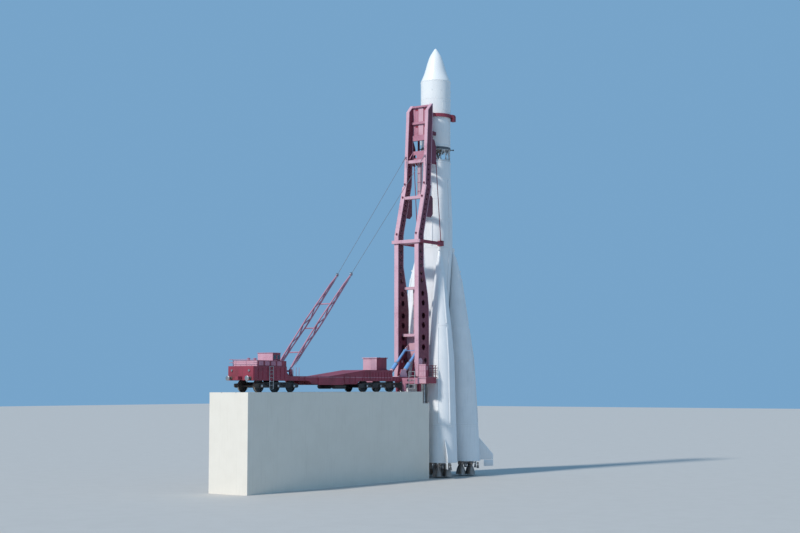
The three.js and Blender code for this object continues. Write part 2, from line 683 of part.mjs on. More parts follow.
// Stay arms and stays.
{
  const from = new THREE.Vector3(-ARM_BASE.s, 0, ARM_BASE.z);
  const to = new THREE.Vector3(-ARM_TIP.s, 0, ARM_TIP.z);
  const along = to.clone().sub(from);
  const length = along.length();
  along.normalize();
  const normal = new THREE.Vector3(-along.z, 0, along.x);
  const at = (d, off, y) => [from.x + along.x * d + normal.x * off, y, from.z + along.z * d + normal.z * off];
  // Chord lines: columns are share of the length, half depth.
  const CHORD = [[0, 20], [0.12, 150], [0.5, 240], [0.88, 130], [1, 20]];
  const half = (t) => {
    const i = Math.max(1, CHORD.findIndex((row) => row[0] >= t));
    const [a, b] = [CHORD[i - 1], CHORD[i]];
    return a[1] + ((t - a[0]) / (b[0] - a[0])) * (b[1] - a[1]);
  };
  const BAYS = 11;
  const CHORD_DEPTH = 78;
  const to2 = (d, off) => {
    const [x, , z] = at(d, off, 0);
    return [-x, z];
  };
  const body = [];
  // Each arm is a plate of chord and web bars: its outline with triangles cut out between the bars.
  const upper = CHORD.map(([t, h]) => to2(t * length, h));
  const lower = CHORD.map(([t, h]) => to2(t * length, -h)).reverse();
  const outline = [...upper, ...lower];
  const windows = [];
  for (let i = 1; i < BAYS - 1; i++) {
    const [t0, t1, tm] = [(i + 0.12) / BAYS, (i + 1.88) / BAYS, (i + 1) / BAYS];
    const way = i % 2 ? 1 : -1;
    windows.push([to2(t0 * length, way * (half(t0) - CHORD_DEPTH)), to2(Math.min(t1, 0.93) * length,
      way * (half(Math.min(t1, 0.93)) - CHORD_DEPTH)), to2(tm * length, -way * (half(tm) - CHORD_DEPTH - 30))]);
  }
  for (const side of [-1, 1]) {
    const y = side * ARM_Y;
    body.push(cut(plate(outline, y - 45, y + 45), windows.map((w) => plate(w, y - 60, y + 60))));
    body.push(bar(at(length - 60, 0, y), at(length + 60, 0, y), 70, 6));
  }
  body.push(bar([-ARM_BASE.s, -940, ARM_BASE.z], [-ARM_BASE.s, 940, ARM_BASE.z], ARM_PIN_R,
    SMALL_SIDES, false));
  for (const [t, way] of [[0.2, -1], [0.45, -1], [0.7, -1]])
    body.push(bar(at(t * length, way * half(t), -ARM_Y), at(t * length, way * half(t), ARM_Y), 55, 6));
  node("stay_arms", "rose", join(body));

  for (const side of [-1, 1]) {
    const low = new THREE.Vector3(-ARM_TIP.s, side * ARM_Y, ARM_TIP.z);
    const high = new THREE.Vector3(-STAY_TOP.s, side * STAY_TOP.y, STAY_TOP.z);
    const way = high.clone().sub(low).normalize();
    const a = low.clone().addScaledVector(way, 85);
    node("stay_" + (side < 0 ? "near" : "far"), "dark", join(
      bar(a.toArray(), high.toArray(), STAY_R, 6),
      box(high.x - 45, high.x + 45, high.y - EYE_HALF, high.y + EYE_HALF, high.z - 45, high.z + 45),
    ));
  }
}

// Railway car.

const WELL_TOP = 1250; // deck round the lifting cylinders
const DECK_TOP = 1800; // deck under the box
const REAR_TOP = 1950; // deck over the rear bogie
// Sill outline, (s, z): top line away from the boom, then the underside back.
const DECK_LINE = [[CAR_FRONT, WELL_TOP], [8350, WELL_TOP], [8440, DECK_TOP], [12000, DECK_TOP - 10],
  [17000, 1220], [21700, 1220], [22060, 1480], [22080, REAR_TOP], [CAR_REAR, REAR_TOP]];
const BELLY_LINE = [[CAR_REAR, 880], [19400, 880], [19000, 620], [13350, 620], [12950, 880], [CAR_FRONT, 880]];
const DECK = 110; // thickness of the deck plate
const WELL_END = 7300;
const CENTRE_PAD = { z: 880, r: 260, pin: 60, pinTop: 970 };
const OUTRIGGER = { s0: 6900, s1: 7060, out: 2920, low: 700, high: 1150 };
// Wall of the well with the raised bracket of a lifting cylinder's base pin, (s, z).
const WELL_WALL = [[CAR_FRONT, 1020], [WELL_END, 1020], [WELL_END, 1240], [6900, 1240], [6900, 1500],
  [6700, 1900], [6200, 1900], [5900, 1500], [5900, 1240], [CAR_FRONT, 1240]];
{
  const body = [];
  for (const side of [-1, 1]) {
    const across = (a, b) => (side > 0 ? [a, b] : [-b, -a]);
    body.push(plate([...DECK_LINE, ...BELLY_LINE], ...across(SILL_IN, CAR_HALF)));
    body.push(plate(WELL_WALL, ...across(WELL_HALF, WELL_HALF + 100),
      [[LIFT_BASE.s, LIFT_BASE.z, boreFor(LIFT_PIN_R, SMALL_SIDES), SMALL_SIDES]]));
    // Lugs of the stay arms.
    body.push(plate([[21000, 1150], [21400, 1150], [21330, 1750], [21070, 1750]], ...across(850, 960),
      [[ARM_BASE.s, ARM_BASE.z, boreFor(ARM_PIN_R, SMALL_SIDES), SMALL_SIDES]]));
  }
  // Deck plate between the sills, open over the well.
  const deckOutline = strip(DECK_LINE.slice().reverse(), DECK);
  const opening = (s0, s1, half) => carBox(s0, s1, -half, half, WELL_TOP - DECK - 10, WELL_TOP + 10);
  body.push(cut(plate(deckOutline, -SILL_IN - 5, SILL_IN + 5),
    opening(CAR_FRONT - 10, WELL_END - 60, WELL_HALF),
    opening(LIFT_BASE.s - 80, LIFT_BASE.s + 80, WELL_HALF + 110)));
  body.push(carBox(WELL_END - 100, WELL_END, -SILL_IN, SILL_IN, 1020, WELL_TOP - 10));
  body.push(carBox(CAR_REAR - 100, CAR_REAR, -SILL_IN, SILL_IN, 900, REAR_TOP - 10));
  body.push(carBox(13400, 18800, -300, 300, 640, 1150));
  for (const { s, top } of BOGIES) {
    const pad = turned([[0, CENTRE_PAD.z], [CENTRE_PAD.r, CENTRE_PAD.z], [CENTRE_PAD.r, 1080], [0, 1080]],
      12, -s);
    const bolster = carBox(s - 230, s + 230, -SILL_IN - 5, SILL_IN + 5, 1020, 1200);
    const web = carBox(s - 60, s + 60, -400, 400, 1020, top);
    const r = boreFor(CENTRE_PAD.pin, 12);
    const bore = turned([[0, 800], [r, 800], [r, 990], [0, 990]], 12, -s, 0, Math.PI / 12);
    body.push(cut(join(pad, bolster, web), bore));
  }
  body.push(carBox(CAR_REAR - 20, CAR_REAR + 450, -130, 130, 930, 1180));
  node("car_frame", "crimson", join(body));
}

// Outriggers: a plate with two holes, a leg at its root and a post at its end.
for (const [name, side] of [["outrigger_near", -1], ["outrigger_far", 1]]) {
  const { s0, s1, out, low, high } = OUTRIGGER;
  const across = (a, b) => (side > 0 ? [a, b] : [-b, -a]);
  const arm = [
    carBox(s0, s1, ...across(CAR_HALF + GAP, out), low, high),
    carBox(s0, s1, ...across(1300, 1640), 20, low + 20),
    carBox(s0 - 40, s1 + 40, ...across(out - 280, out), low - 40, high + 40),
  ];
  const holes = [1880, 2300].map((y) => bar([-s1 - 50, side * y, 960], [-s0 + 50, side * y, 960], 95, 8));
  node(name, "rose", cut(join(arm), holes));
}

// End frame under the boom's foot, with the hinge cheeks and two jack legs.
const END_TOP = 1210;
{
  const body = [carBox(3050, 4600, -CAR_HALF, CAR_HALF, 650, END_TOP)];
  body.push(cut(carBox(4500, CAR_FRONT - GAP, -CAR_HALF, CAR_HALF, 900, END_TOP),
    carBox(4400, CAR_FRONT, -600, 600, 800, 1300)));
  for (const side of [-1, 1]) {
    const across = (a, b) => (side > 0 ? [a, b] : [-b, -a]);
    body.push(plate([[3700, 1200], [4900, 1200], [4600, 2700], [4450, 2850], [4150, 2850], [4000, 2700]],
      ...across(CHEEK.inner, CHEEK.outer), [[PIVOT.s, PIVOT.z, boreFor(PIN_R, 12), 12]]));
    body.push(carBox(4150, 4450, ...across(1000, 1250), -900, 700));
    body.push(carBox(4050, 4550, ...across(930, 1320), -1000, -880));
  }
  node("end_frame", "crimson", join(body));
}

// Service platform on the near side, with its base and cabinet.
const PLATFORM = { s0: 2950, s1: 4650, out: -2100, low: 700, high: 1250 };
{
  const { s0, s1, out, low, high } = PLATFORM;
  const y = -CAR_HALF - GAP;
  const body = [
    carBox(s0, s1, out, y, high - 80, high),
    carBox(s0 + 60, s1 - 60, out + 60, y, low, high - 70),
    carBox(4250, 4600, -2040, -1320, high - 10, 2320),
    carBox(4230, 4620, -2060, -1305, 2300, 2360),
  ];
  node("service_cabinet", "rose", join(body));
}

// Box on the deck and cabin at the far end.
node("deck_box", "crimson",
  join(carBox(8470, 9880, -705, 705, DECK_TOP + GAP, 2800), carBox(8400, 9950, -780, 780, 2780, 2850)));
node("rear_cabin", "rose",
  join(carBox(22080, 25400, -1200, 1200, REAR_TOP + GAP, 2370), carBox(22250, 23150, -750, 750, 2350, 2980)));

// Bogies: two side plates, cross beams between the axles and a centre beam that carries the pivot.
let wheelsets = 0;
BOGIES.forEach(({ s: centre, count, half }, b) => {
  const axles = Array.from({ length: count }, (_, i) => centre + (i - (count - 1) / 2) * AXLE_PITCH);
  const body = [];
  for (const side of [-1, 1]) {
    const across = side > 0 ? [BOGIE_SIDE.inner, BOGIE_SIDE.outer] : [-BOGIE_SIDE.outer, -BOGIE_SIDE.inner];
    body.push(plate(
      [[centre - half, 400], [centre - half + 150, 340], [centre + half - 150, 340], [centre + half, 400],
        [centre + half, 640], [centre + half - 1400, 760], [centre - half + 1400, 760], [centre - half, 640]],
      ...across, axles.map((s) => [s, WHEEL_R, boreFor(AXLE_R, 12), 12])));
  }
  for (let i = 1; i < count; i++) {
    const s = (axles[i - 1] + axles[i]) / 2;
    body.push(carBox(s - 120, s + 120, -BOGIE_SIDE.inner - 10, BOGIE_SIDE.inner + 10, 580, 740));
  }
  body.push(carBox(centre - 1000, centre + 1000, -300, 300, 570, 800));
  body.push(turned([[0, 780], [CENTRE_PAD.r, 780], [CENTRE_PAD.r, CENTRE_PAD.z - 5],
    [CENTRE_PAD.pin, CENTRE_PAD.z - 5], [CENTRE_PAD.pin, CENTRE_PAD.pinTop], [0, CENTRE_PAD.pinTop]],
  12, -centre));
  node("bogie_frame_" + (b + 1), "black", join(body));
  for (const s of axles) {
    const rim = [[0, -1050], [AXLE_R, -1050], [AXLE_R, -860], [WHEEL_R, -860], [WHEEL_R, -740],
      [WHEEL_FLANGE_R, -700], [70, -700]];
    const rows = [...rim, ...rim.slice().reverse().map(([r, y]) => [r, -y])];
    wheelsets += 1;
    node("wheelset_" + wheelsets, "black", turnedAcross(rows, 12, s, WHEEL_R));
  }
});

export default group;
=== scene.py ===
"""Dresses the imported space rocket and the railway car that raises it.

Everything is in metres, +Z up, in the frame of the CAD model: the origin is on the rocket's axis at the
height of the rail heads, and the railway car stands toward -X. A distance "s" runs from the rocket's axis
toward the car, so x = -s. Heights of the rocket's own stations are counted from the nozzles' mouths.
"""

from __future__ import annotations

import logging
import math
from dataclasses import dataclass, field
from enum import Enum
from typing import Callable, Iterable, Sequence

import bmesh
import bpy
from mathutils import Matrix, Vector
from mathutils.geometry import tessellate_polygon


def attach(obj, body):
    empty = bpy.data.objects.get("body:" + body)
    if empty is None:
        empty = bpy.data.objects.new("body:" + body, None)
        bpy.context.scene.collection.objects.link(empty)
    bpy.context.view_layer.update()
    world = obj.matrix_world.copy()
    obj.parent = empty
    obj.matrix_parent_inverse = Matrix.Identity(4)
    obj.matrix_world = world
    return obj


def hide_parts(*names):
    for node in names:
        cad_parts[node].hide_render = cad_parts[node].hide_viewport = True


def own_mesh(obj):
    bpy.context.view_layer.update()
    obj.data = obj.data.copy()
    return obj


LOG = logging.getLogger("scene")

TAIL_DROP = 7.32
PIXELS_WIDE = 800
SMOOTH_ANGLE = math.radians(34)
ROUND = 96
BOTH = (-1, 1)
QUARTERS = (45.0, 135.0, 225.0, 315.0)
BOGIES = ((8.995, 4), (22.97, 3))
AXLE_PITCH = 1.87

Triple = tuple[float, float, float]
Point = Triple
Rows = Sequence[tuple[float, float]]
Block = tuple[Point, Point, float]
Spot = tuple[Point, Point]

# Waves per metre of the four noises that age a finish, and how far its runs are drawn down
BLOTCH_SCALE, RUN_SCALE, SPECK_SCALE, GRAIN_SCALE = 0.7, 1.3, 22.0, 140.0
RUN_STRETCH = (5.0, 5.0, 0.32)
BUMP_DEPTH = 0.006


def up(height: float) -> float:
    """Height above the nozzles' mouths as height above the rail heads."""
    return height - TAIL_DROP


# Shader trees


class Wire:
    """An output socket of a shader tree, with the arithmetic that the finishes use."""

    def __init__(self, tree: "Tree", socket: bpy.types.NodeSocket) -> None:
        """Keeps the socket and the tree that it is in."""
        self.tree = tree
        self.socket = socket

    def _math(self, operation: str, first: "Wire | float", second: "Wire | float") -> "Wire":
        """Adds one Math node.

        Args:
            operation: the node's operation.
            first: its first value.
            second: its second value.

        Returns:
            The result as a wire.
        """
        made = self.tree.add("ShaderNodeMath", {"operation": operation}, {0: first, 1: second})
        return Wire(self.tree, made.outputs[0])

    def __add__(self, other: "Wire | float") -> "Wire":
        """Sum."""
        return self._math("ADD", self, other)

    def __mul__(self, other: "Wire | float") -> "Wire":
        """Product."""
        return self._math("MULTIPLY", self, other)

    def __sub__(self, other: "Wire | float") -> "Wire":
        """Difference."""
        return self._math("SUBTRACT", self, other)

    def __rsub__(self, other: float) -> "Wire":
        """Difference from a number."""
        return self._math("SUBTRACT", other, self)

    def clamped(self) -> "Wire":
        """The value kept between 0 and 1."""
        made = self.tree.add("ShaderNodeClamp", {}, {"Value": self})
        return Wire(self.tree, made.outputs[0])

    def between(self, low: float, high: float) -> "Wire":
        """Smooth mask that rises from 0 at low to 1 at high."""
        made = self.tree.add(
            "ShaderNodeMapRange",
            {"interpolation_type": "SMOOTHSTEP"},
            {"Value": self, "From Min": low, "From Max": high},
        )
        return Wire(self.tree, made.outputs[0])


class Tree:
    """Writer for one node tree."""

    def __init__(self, tree: bpy.types.NodeTree) -> None:
        """Keeps the tree."""
        self.tree = tree

    def add(self, kind: str, settings: dict | None = None, inputs: dict | None = None) -> bpy.types.Node:
        """Adds a node.

        Args:
            kind: the node's type.
            settings: its properties, set before its sockets.
            inputs: values, sockets or wires by input name or number.

        Returns:
            The new node.
        """
        made = self.tree.nodes.new(kind)
        for key, value in (settings or {}).items():
            setattr(made, key, value)
        for key, value in (inputs or {}).items():
            if isinstance(value, Wire):
                value = value.socket
            if isinstance(value, bpy.types.NodeSocket):
                self.tree.links.new(value, made.inputs[key])
            else:
                made.inputs[key].default_value = value
        return made

    def noise(self, at: bpy.types.NodeSocket, scale: float, detail: float, rough: float = 0.55) -> Wire:
        """Noise between 0 and 1 at the given coordinates."""
        made = self.add(
            "ShaderNodeTexNoise", {}, {"Vector": at, "Scale": scale, "Detail": detail, "Roughness": rough}
        )
        return Wire(self, made.outputs["Fac"])

    def mix(self, share: Wire, first: Sequence[float] | bpy.types.NodeSocket, second: Sequence[float]):
        """Mixes two colours by a share.

        Args:
            share: 0 gives the first colour and 1 the second.
            first: a colour or a colour socket.
            second: a colour.

        Returns:
            The colour socket.
        """
        made = self.tree.nodes.new("ShaderNodeMix")
        made.data_type = "RGBA"
        self.tree.links.new(share.socket, made.inputs["Factor"])
        for key, value in ((6, first), (7, second)):
            if isinstance(value, bpy.types.NodeSocket):
                self.tree.links.new(value, made.inputs[key])
            else:
                made.inputs[key].default_value = (*value, 1.0)
        return made.outputs[2]


class Wear(Enum):
    """How a finish ages."""

    CLEAN = "clean"
    WEATHERED = "weathered"
    RUSTED = "rusted"
    SOOTED = "sooted"


@dataclass(frozen=True)
class Finish:
    """One paint or metal, with its colours, gloss and wear."""

    name: str
    slot: str
    base: tuple[float, float, float]
    shade: tuple[float, float, float]
    stain: tuple[float, float, float]
    roughness: float = 0.45
    metallic: float = 0.0
    coat: float = 0.0
    wear: Wear = Wear.WEATHERED
    blotch: float = 0.5
    streak: float = 0.5
    grain: float = 0.25

    def material(self) -> bpy.types.Material:
        """The finish's material, made on first use."""
        found = bpy.data.materials.get(self.name)
        return found if found else self._write()

    def _write(self) -> bpy.types.Material:
        """Builds the node tree.

        Returns:
            The new material.
        """
        made = bpy.data.materials.new(self.name)
        made.use_nodes = True
        made.node_tree.nodes.clear()
        tree = Tree(made.node_tree)
        place = tree.add("ShaderNodeTexCoord").outputs["Object"]
        runs = tree.add("ShaderNodeMapping", {}, {"Vector": place, "Scale": RUN_STRETCH}).outputs[0]
        blotch = tree.noise(place, BLOTCH_SCALE, 5.0)
        run = tree.noise(runs, RUN_SCALE, 6.0, 0.62)
        speck = tree.noise(place, SPECK_SCALE, 3.0)
        grain = tree.noise(place, GRAIN_SCALE, 2.0)
        faded = (blotch.between(0.36, 0.68) * self.blotch).clamped()
        colour = tree.mix(faded, self.base, self.shade)
        runny = (run.between(0.5, 0.78) * self.streak).clamped()
        if self.wear is Wear.RUSTED:
            chips = (blotch * 0.55 + speck * 0.6).between(0.66, 0.7)
            runny = (runny + chips * 0.85).clamped()
        elif self.wear is Wear.SOOTED:
            runny = (runny + speck.between(0.45, 0.75) * 0.5).clamped()
        colour = tree.mix(runny, colour, self.stain)
        rough = (speck - 0.5) * 0.16 + runny * 0.18 + self.roughness
        metal: Wire | float = self.metallic
        if self.metallic and self.wear is not Wear.CLEAN:
            metal = (1.0 - runny * 0.7) * self.metallic
        height = grain * 0.35 + speck * 0.45 + blotch * 0.6
        bump = tree.add(
            "ShaderNodeBump", {}, {"Strength": self.grain, "Distance": BUMP_DEPTH, "Height": height}
        ).outputs[0]
        shader = tree.add(
            "ShaderNodeBsdfPrincipled",
            {},
            {
                "Base Color": colour,
                "Roughness": rough.clamped(),
                "Metallic": metal,
                "Coat Weight": self.coat,
                "Normal": bump,
            },
        )
        tree.add("ShaderNodeOutputMaterial", {}, {"Surface": shader.outputs[0]})
        made.diffuse_color = (*self.base, 1.0)
        return made


WHITE = Finish(
    "rocket_paint", "rocket_white", (0.80, 0.81, 0.82), (0.70, 0.72, 0.74), (0.50, 0.51, 0.51),
    roughness=0.36, coat=0.15, blotch=0.45, streak=0.28, grain=0.12,
)
WARM_WHITE = Finish(
    "fairing_paint", "rocket_white", (0.83, 0.83, 0.82), (0.75, 0.76, 0.77), (0.56, 0.56, 0.55),
    roughness=0.34, coat=0.2, blotch=0.4, streak=0.2, grain=0.1,
)
FRAME_GREY = Finish(
    "frame_paint", "truss_grey", (0.60, 0.62, 0.64), (0.46, 0.48, 0.50), (0.25, 0.24, 0.24),
    roughness=0.42,
)
BAND = Finish(
    "dark_band", "truss_grey", (0.11, 0.115, 0.13), (0.07, 0.07, 0.08), (0.2, 0.2, 0.2),
    roughness=0.5,
)
BELL = Finish(
    "bell_metal", "engine_metal", (0.42, 0.36, 0.32), (0.26, 0.22, 0.21), (0.10, 0.09, 0.09),
    roughness=0.38, metallic=0.85, wear=Wear.SOOTED, blotch=0.7, streak=0.4,
)
STEEL = Finish(
    "bare_steel", "engine_metal", (0.48, 0.48, 0.49), (0.33, 0.33, 0.34), (0.16, 0.12, 0.10),
    roughness=0.35, metallic=0.9,
)
ROSE = Finish(
    "boom_paint", "boom_rose", (0.48, 0.22, 0.29), (0.42, 0.17, 0.24), (0.26, 0.10, 0.13),
    roughness=0.56, wear=Wear.RUSTED, blotch=0.7, streak=0.5, grain=0.3,
)
# The boom's red paint in a lighter tone, for flanges, cross members, barrels and car parts whose faces turn
# toward the key light: painted sunlight.
SUNLIT_ROSE = Finish(
    "boom_paint_painted_sunlit", "boom_rose", (0.61, 0.37, 0.44), (0.55, 0.30, 0.375), (0.38, 0.17, 0.22),
    roughness=0.56, wear=Wear.RUSTED, blotch=0.7, streak=0.5, grain=0.3,
)
# The same red paint in its darkest tone, for the girders' side plates and other faces turned away from the
# key light: painted shade.
SHADED_MAROON = Finish(
    "boom_web_paint_painted_shade", "car_crimson", (0.18, 0.034, 0.064), (0.13, 0.026, 0.05), (0.10, 0.03, 0.04),
    roughness=0.58, wear=Wear.RUSTED, blotch=0.7, streak=0.5, grain=0.3,
)
# The same red paint in a dark tone, for the car's sides and the parts under the boom that stand in shade:
# painted shade.
SHADED_CRIMSON = Finish(
    "car_paint_painted_shade", "car_crimson", (0.29, 0.036, 0.066), (0.22, 0.028, 0.052), (0.13, 0.035, 0.038),
    roughness=0.55, wear=Wear.RUSTED, blotch=0.7, streak=0.5, grain=0.3,
)
DECKING = Finish(
    "deck_paint", "car_crimson", (0.34, 0.10, 0.15), (0.27, 0.09, 0.125), (0.21, 0.17, 0.15),
    roughness=0.7, wear=Wear.RUSTED, blotch=0.8, streak=0.3, grain=0.5,
)
BLUE = Finish(
    "cylinder_paint", "cylinder_blue", (0.17, 0.36, 0.66), (0.13, 0.30, 0.58), (0.16, 0.20, 0.27),
    roughness=0.3, coat=0.2, blotch=0.4, streak=0.25,
)
CABLE = Finish(
    "wire_rope", "cable_steel", (0.27, 0.28, 0.31), (0.20, 0.21, 0.24), (0.20, 0.10, 0.08),
    roughness=0.5, metallic=0.6,
)
BLACK = Finish(
    "bogie_paint", "bogie_black", (0.035, 0.034, 0.037), (0.06, 0.055, 0.052), (0.13, 0.085, 0.06),
    roughness=0.62, wear=Wear.RUSTED, blotch=0.6, streak=0.4, grain=0.4,
)
TREAD = Finish(
    "worn_tread", "bogie_black", (0.40, 0.39, 0.38), (0.26, 0.25, 0.24), (0.18, 0.11, 0.08),
    roughness=0.3, metallic=0.9,
)
GALVANISED = Finish(
    "galvanised", "cable_steel", (0.55, 0.56, 0.57), (0.42, 0.43, 0.45), (0.28, 0.25, 0.22),
    roughness=0.45, metallic=0.7, blotch=0.7,
)
PANE = Finish(
    "window_pane", "cable_steel", (0.03, 0.04, 0.05), (0.05, 0.06, 0.07), (0.1, 0.1, 0.1),
    roughness=0.08, coat=0.5, wear=Wear.CLEAN, streak=0.1, grain=0.02,
)
FLOOR = Finish(
    "pale_floor", "", (0.52, 0.49, 0.46), (0.49, 0.46, 0.43), (0.46, 0.43, 0.40),
    roughness=0.8, wear=Wear.CLEAN, streak=0.2, grain=0.05,
)
PLINTH = Finish(
    "pale_block", "", (0.75, 0.70, 0.62), (0.70, 0.65, 0.57), (0.60, 0.55, 0.48),
    roughness=0.85, wear=Wear.CLEAN, streak=0.3, grain=0.1,
)


# Meshes


Ring = list[Vector]


def polar(radius: float, angle: float, z: float = 0.0) -> Point:
    """The point at a radius and an angle, in radians, round the Z axis."""
    return (radius * math.cos(angle), radius * math.sin(angle), z)


@dataclass
class Shape:
    """Vertices and faces of one piece, gathered before its mesh is made."""

    points: list[Vector] = field(default_factory=list)
    faces: list[tuple[int, ...]] = field(default_factory=list)

    def put(self, points: Iterable[Vector], faces: Iterable[Sequence[int]]) -> "Shape":
        """Adds points, and faces numbered from the first of them."""
        base = len(self.points)
        self.points.extend(points)
        self.faces.extend(tuple(base + i for i in face) for face in faces)
        return self

    def box(self, low: Point, high: Point, chamfer: float = 0.012, turn: Matrix | None = None) -> "Shape":
        """Adds a box with chamfered edges.

        Args:
            low: its lowest corner.
            high: its highest corner.
            chamfer: the chamfer's leg.
            turn: a transform applied after it is in place.

        Returns:
            The shape itself.
        """
        mid = [(a + b) / 2 for a, b in zip(low, high)]
        half = [abs(b - a) / 2 for a, b in zip(low, high)]
        c = min(chamfer, *(0.35 * h for h in half))
        points = []
        for corner in range(8):
            sign = [1 if corner >> k & 1 else -1 for k in range(3)]
            for kind in range(3):
                reach = [h if k == kind else h - c for k, h in enumerate(half)]
                points.append(Vector([m + s * r for m, s, r in zip(mid, sign, reach)]))
        faces: list[tuple[int, ...]] = []
        for kind in range(3):
            u, v = (kind + 1) % 3, (kind + 2) % 3
            for side in (0, 1):
                ring = [(side << kind) | (a << u) | (b << v) for a, b in ((0, 0), (1, 0), (1, 1), (0, 1))]
                faces.append(tuple(3 * k + kind for k in ring))
            for a in (0, 1):
                for b in (0, 1):
                    first, last = (a << u) | (b << v), (1 << kind) | (a << u) | (b << v)
                    faces.append((3 * first + u, 3 * last + u, 3 * last + v, 3 * first + v))
        faces.extend((3 * k, 3 * k + 1, 3 * k + 2) for k in range(8))
        if turn is not None:
            points = [turn @ p for p in points]
        return self.put(points, faces)

    def boxes(self, rows: Iterable[Block], sides: Sequence[int] = (1,)) -> "Shape":
        """Adds a box for each (low, high, chamfer), at each given side of the middle plane."""
        rows = list(rows)
        for side in sides:
            for (x0, y0, z0), (x1, y1, z1), chamfer in rows:
                self.box((x0, side * y0, z0), (x1, side * y1, z1), chamfer)
        return self

    def loft(self, rings: Sequence[Ring], closed: bool = False) -> "Shape":
        """Joins rings of equal length; open lofts get an end face at each end."""
        n = len(rings[0])
        faces: list[tuple[int, ...]] = []
        steps = len(rings) if closed else len(rings) - 1
        for k in range(steps):
            a, b = k * n, ((k + 1) % len(rings)) * n
            faces.extend((a + i, a + (i + 1) % n, b + (i + 1) % n, b + i) for i in range(n))
        if not closed:
            faces.append(tuple(range(n)))
            faces.append(tuple(range((len(rings) - 1) * n, len(rings) * n)))
        return self.put([p for ring in rings for p in ring], faces)

    def lathe(self, rows: Rows, sides: int = ROUND, place: Matrix | None = None,
              closed: bool = False) -> "Shape":
        """Turns rows of (radius, height) about the Z axis.

        Args:
            rows: the profile; a row on the axis becomes a single point.
            sides: facets round it.
            place: a transform for the result.
            closed: the profile returns to its first row.

        Returns:
            The shape itself.
        """
        points: list[Vector] = []
        index: list[list[int]] = []
        for radius, height in rows:
            count = 1 if radius < 1e-6 else sides
            index.append([len(points) + i for i in range(count)])
            for i in range(count):
                points.append(Vector(polar(radius, 2 * math.pi * i / sides, height)))
        faces: list[tuple[int, ...]] = []
        pairs = list(zip(index, index[1:])) + ([(index[-1], index[0])] if closed else [])
        for low, high in pairs:
            for i in range(sides):
                j = (i + 1) % sides
                ring = [low[i % len(low)], low[j % len(low)], high[j % len(high)], high[i % len(high)]]
                face = tuple(dict.fromkeys(ring))
                if len(face) > 2:
                    faces.append(face)
        if not closed:
            for ring in (index[0], index[-1]):
                if len(ring) > 1:
                    faces.append(tuple(ring))
        if place is not None:
            points = [place @ p for p in points]
        return self.put(points, faces)

    def tube(self, path: Iterable[Sequence[float]], radius: float, sides: int = 12,
             closed: bool = False) -> "Shape":
        """Sweeps a circle along a line of points."""
        line = [Vector(p) for p in path]
        n = len(line)
        rings: list[Ring] = []
        normal: Vector | None = None
        for k, here in enumerate(line):
            before = line[k - 1] if k or closed else here
            after = line[(k + 1) % n] if k < n - 1 or closed else here
            way = (after - before).normalized()
            if normal is None:
                normal = way.orthogonal().normalized()
            normal = (normal - way * normal.dot(way)).normalized()
            other = way.cross(normal)
            ring = []
            for i in range(sides):
                a = 2 * math.pi * i / sides
                ring.append(here + (normal * math.cos(a) + other * math.sin(a)) * radius)
            rings.append(ring)
        return self.loft(rings, closed)

    def rod(self, first: Sequence[float], last: Sequence[float], radius: float, sides: int = 16) -> "Shape":
        """Adds a straight round bar."""
        return self.tube([first, last], radius, sides)

    def slab(
        self,
        outline: Rows,
        low: float,
        high: float,
        to: Callable[[float, float, float], Vector],
        holes: Sequence[Rows] = (),
    ) -> "Shape":
        """Adds a plate from an outline.

        Args:
            outline: its corners in the plate's plane.
            low: one face's place across the plane.
            high: the other face's place.
            to: turns (u, v, w) into a point.
            holes: outlines of its holes.

        Returns:
            The shape itself.
        """
        loops = [list(outline), *map(list, holes)]
        flat = [uv for loop in loops for uv in loop]
        caps = (
            tessellate_polygon([[Vector((u, v, 0.0)) for u, v in loop] for loop in loops])
            if holes
            else [tuple(range(len(flat)))]
        )
        n = len(flat)
        points = [to(u, v, w) for w in (low, high) for u, v in flat]
        faces = [tuple(face) for face in caps] + [tuple(n + i for i in face) for face in caps]
        start = 0
        for loop in loops:
            m = len(loop)
            for i in range(m):
                j = (i + 1) % m
                faces.append((start + i, start + j, n + start + j, n + start + i))
            start += m
        return self.put(points, faces)

    def merge(self, other: "Shape", place: Matrix | None = None) -> "Shape":
        """Adds another shape, moved by a transform."""
        points = [place @ p for p in other.points] if place is not None else other.points
        return self.put([p.copy() for p in points], other.faces)

    def mesh(self, name: str) -> bpy.types.Mesh:
        """The gathered faces as a mesh with outward normals."""
        made = bpy.data.meshes.new(name)
        made.from_pydata([tuple(p) for p in self.points], [], self.faces)
        work = bmesh.new()
        work.from_mesh(made)
        bmesh.ops.remove_doubles(work, verts=work.verts, dist=1e-6)
        bmesh.ops.recalc_face_normals(work, faces=work.faces)
        work.to_mesh(made)
        work.free()
        return made


def side_plane(s: float, z: float, y: float) -> Vector:
    """A point of the boom's and the car's side planes."""
    return Vector((-s, y, z))


def cross_plane(y: float, z: float, s: float) -> Vector:
    """A point of a plane across the car."""
    return Vector((-s, y, z))


def circle(u: float, v: float, radius: float, sides: int = 32) -> list[tuple[float, float]]:
    """A circle's corners in a plane."""
    return [
        (u + radius * math.cos(2 * math.pi * i / sides), v + radius * math.sin(2 * math.pi * i / sides))
        for i in range(sides)
    ]


def oblong(u0: float, u1: float, v0: float, v1: float) -> list[tuple[float, float]]:
    """A rectangle's corners in a plane."""
    return [(u0, v0), (u1, v0), (u1, v1), (u0, v1)]


def stations(low: float, high: float, pitch: float) -> Iterable[float]:
    """Evenly spaced values from low to below high."""
    while low < high:
        yield low
        low += pitch


def about_z(degrees: float) -> Matrix:
    """A turn about the rocket's axis."""
    return Matrix.Rotation(math.radians(degrees), 4, "Z")


def aimed(at: Sequence[float], way: Sequence[float]) -> Matrix:
    """Places a shape's +Z along a direction at a point."""
    return Matrix.Translation(at) @ Vector(way).to_track_quat("Z", "Y").to_matrix().to_4x4()


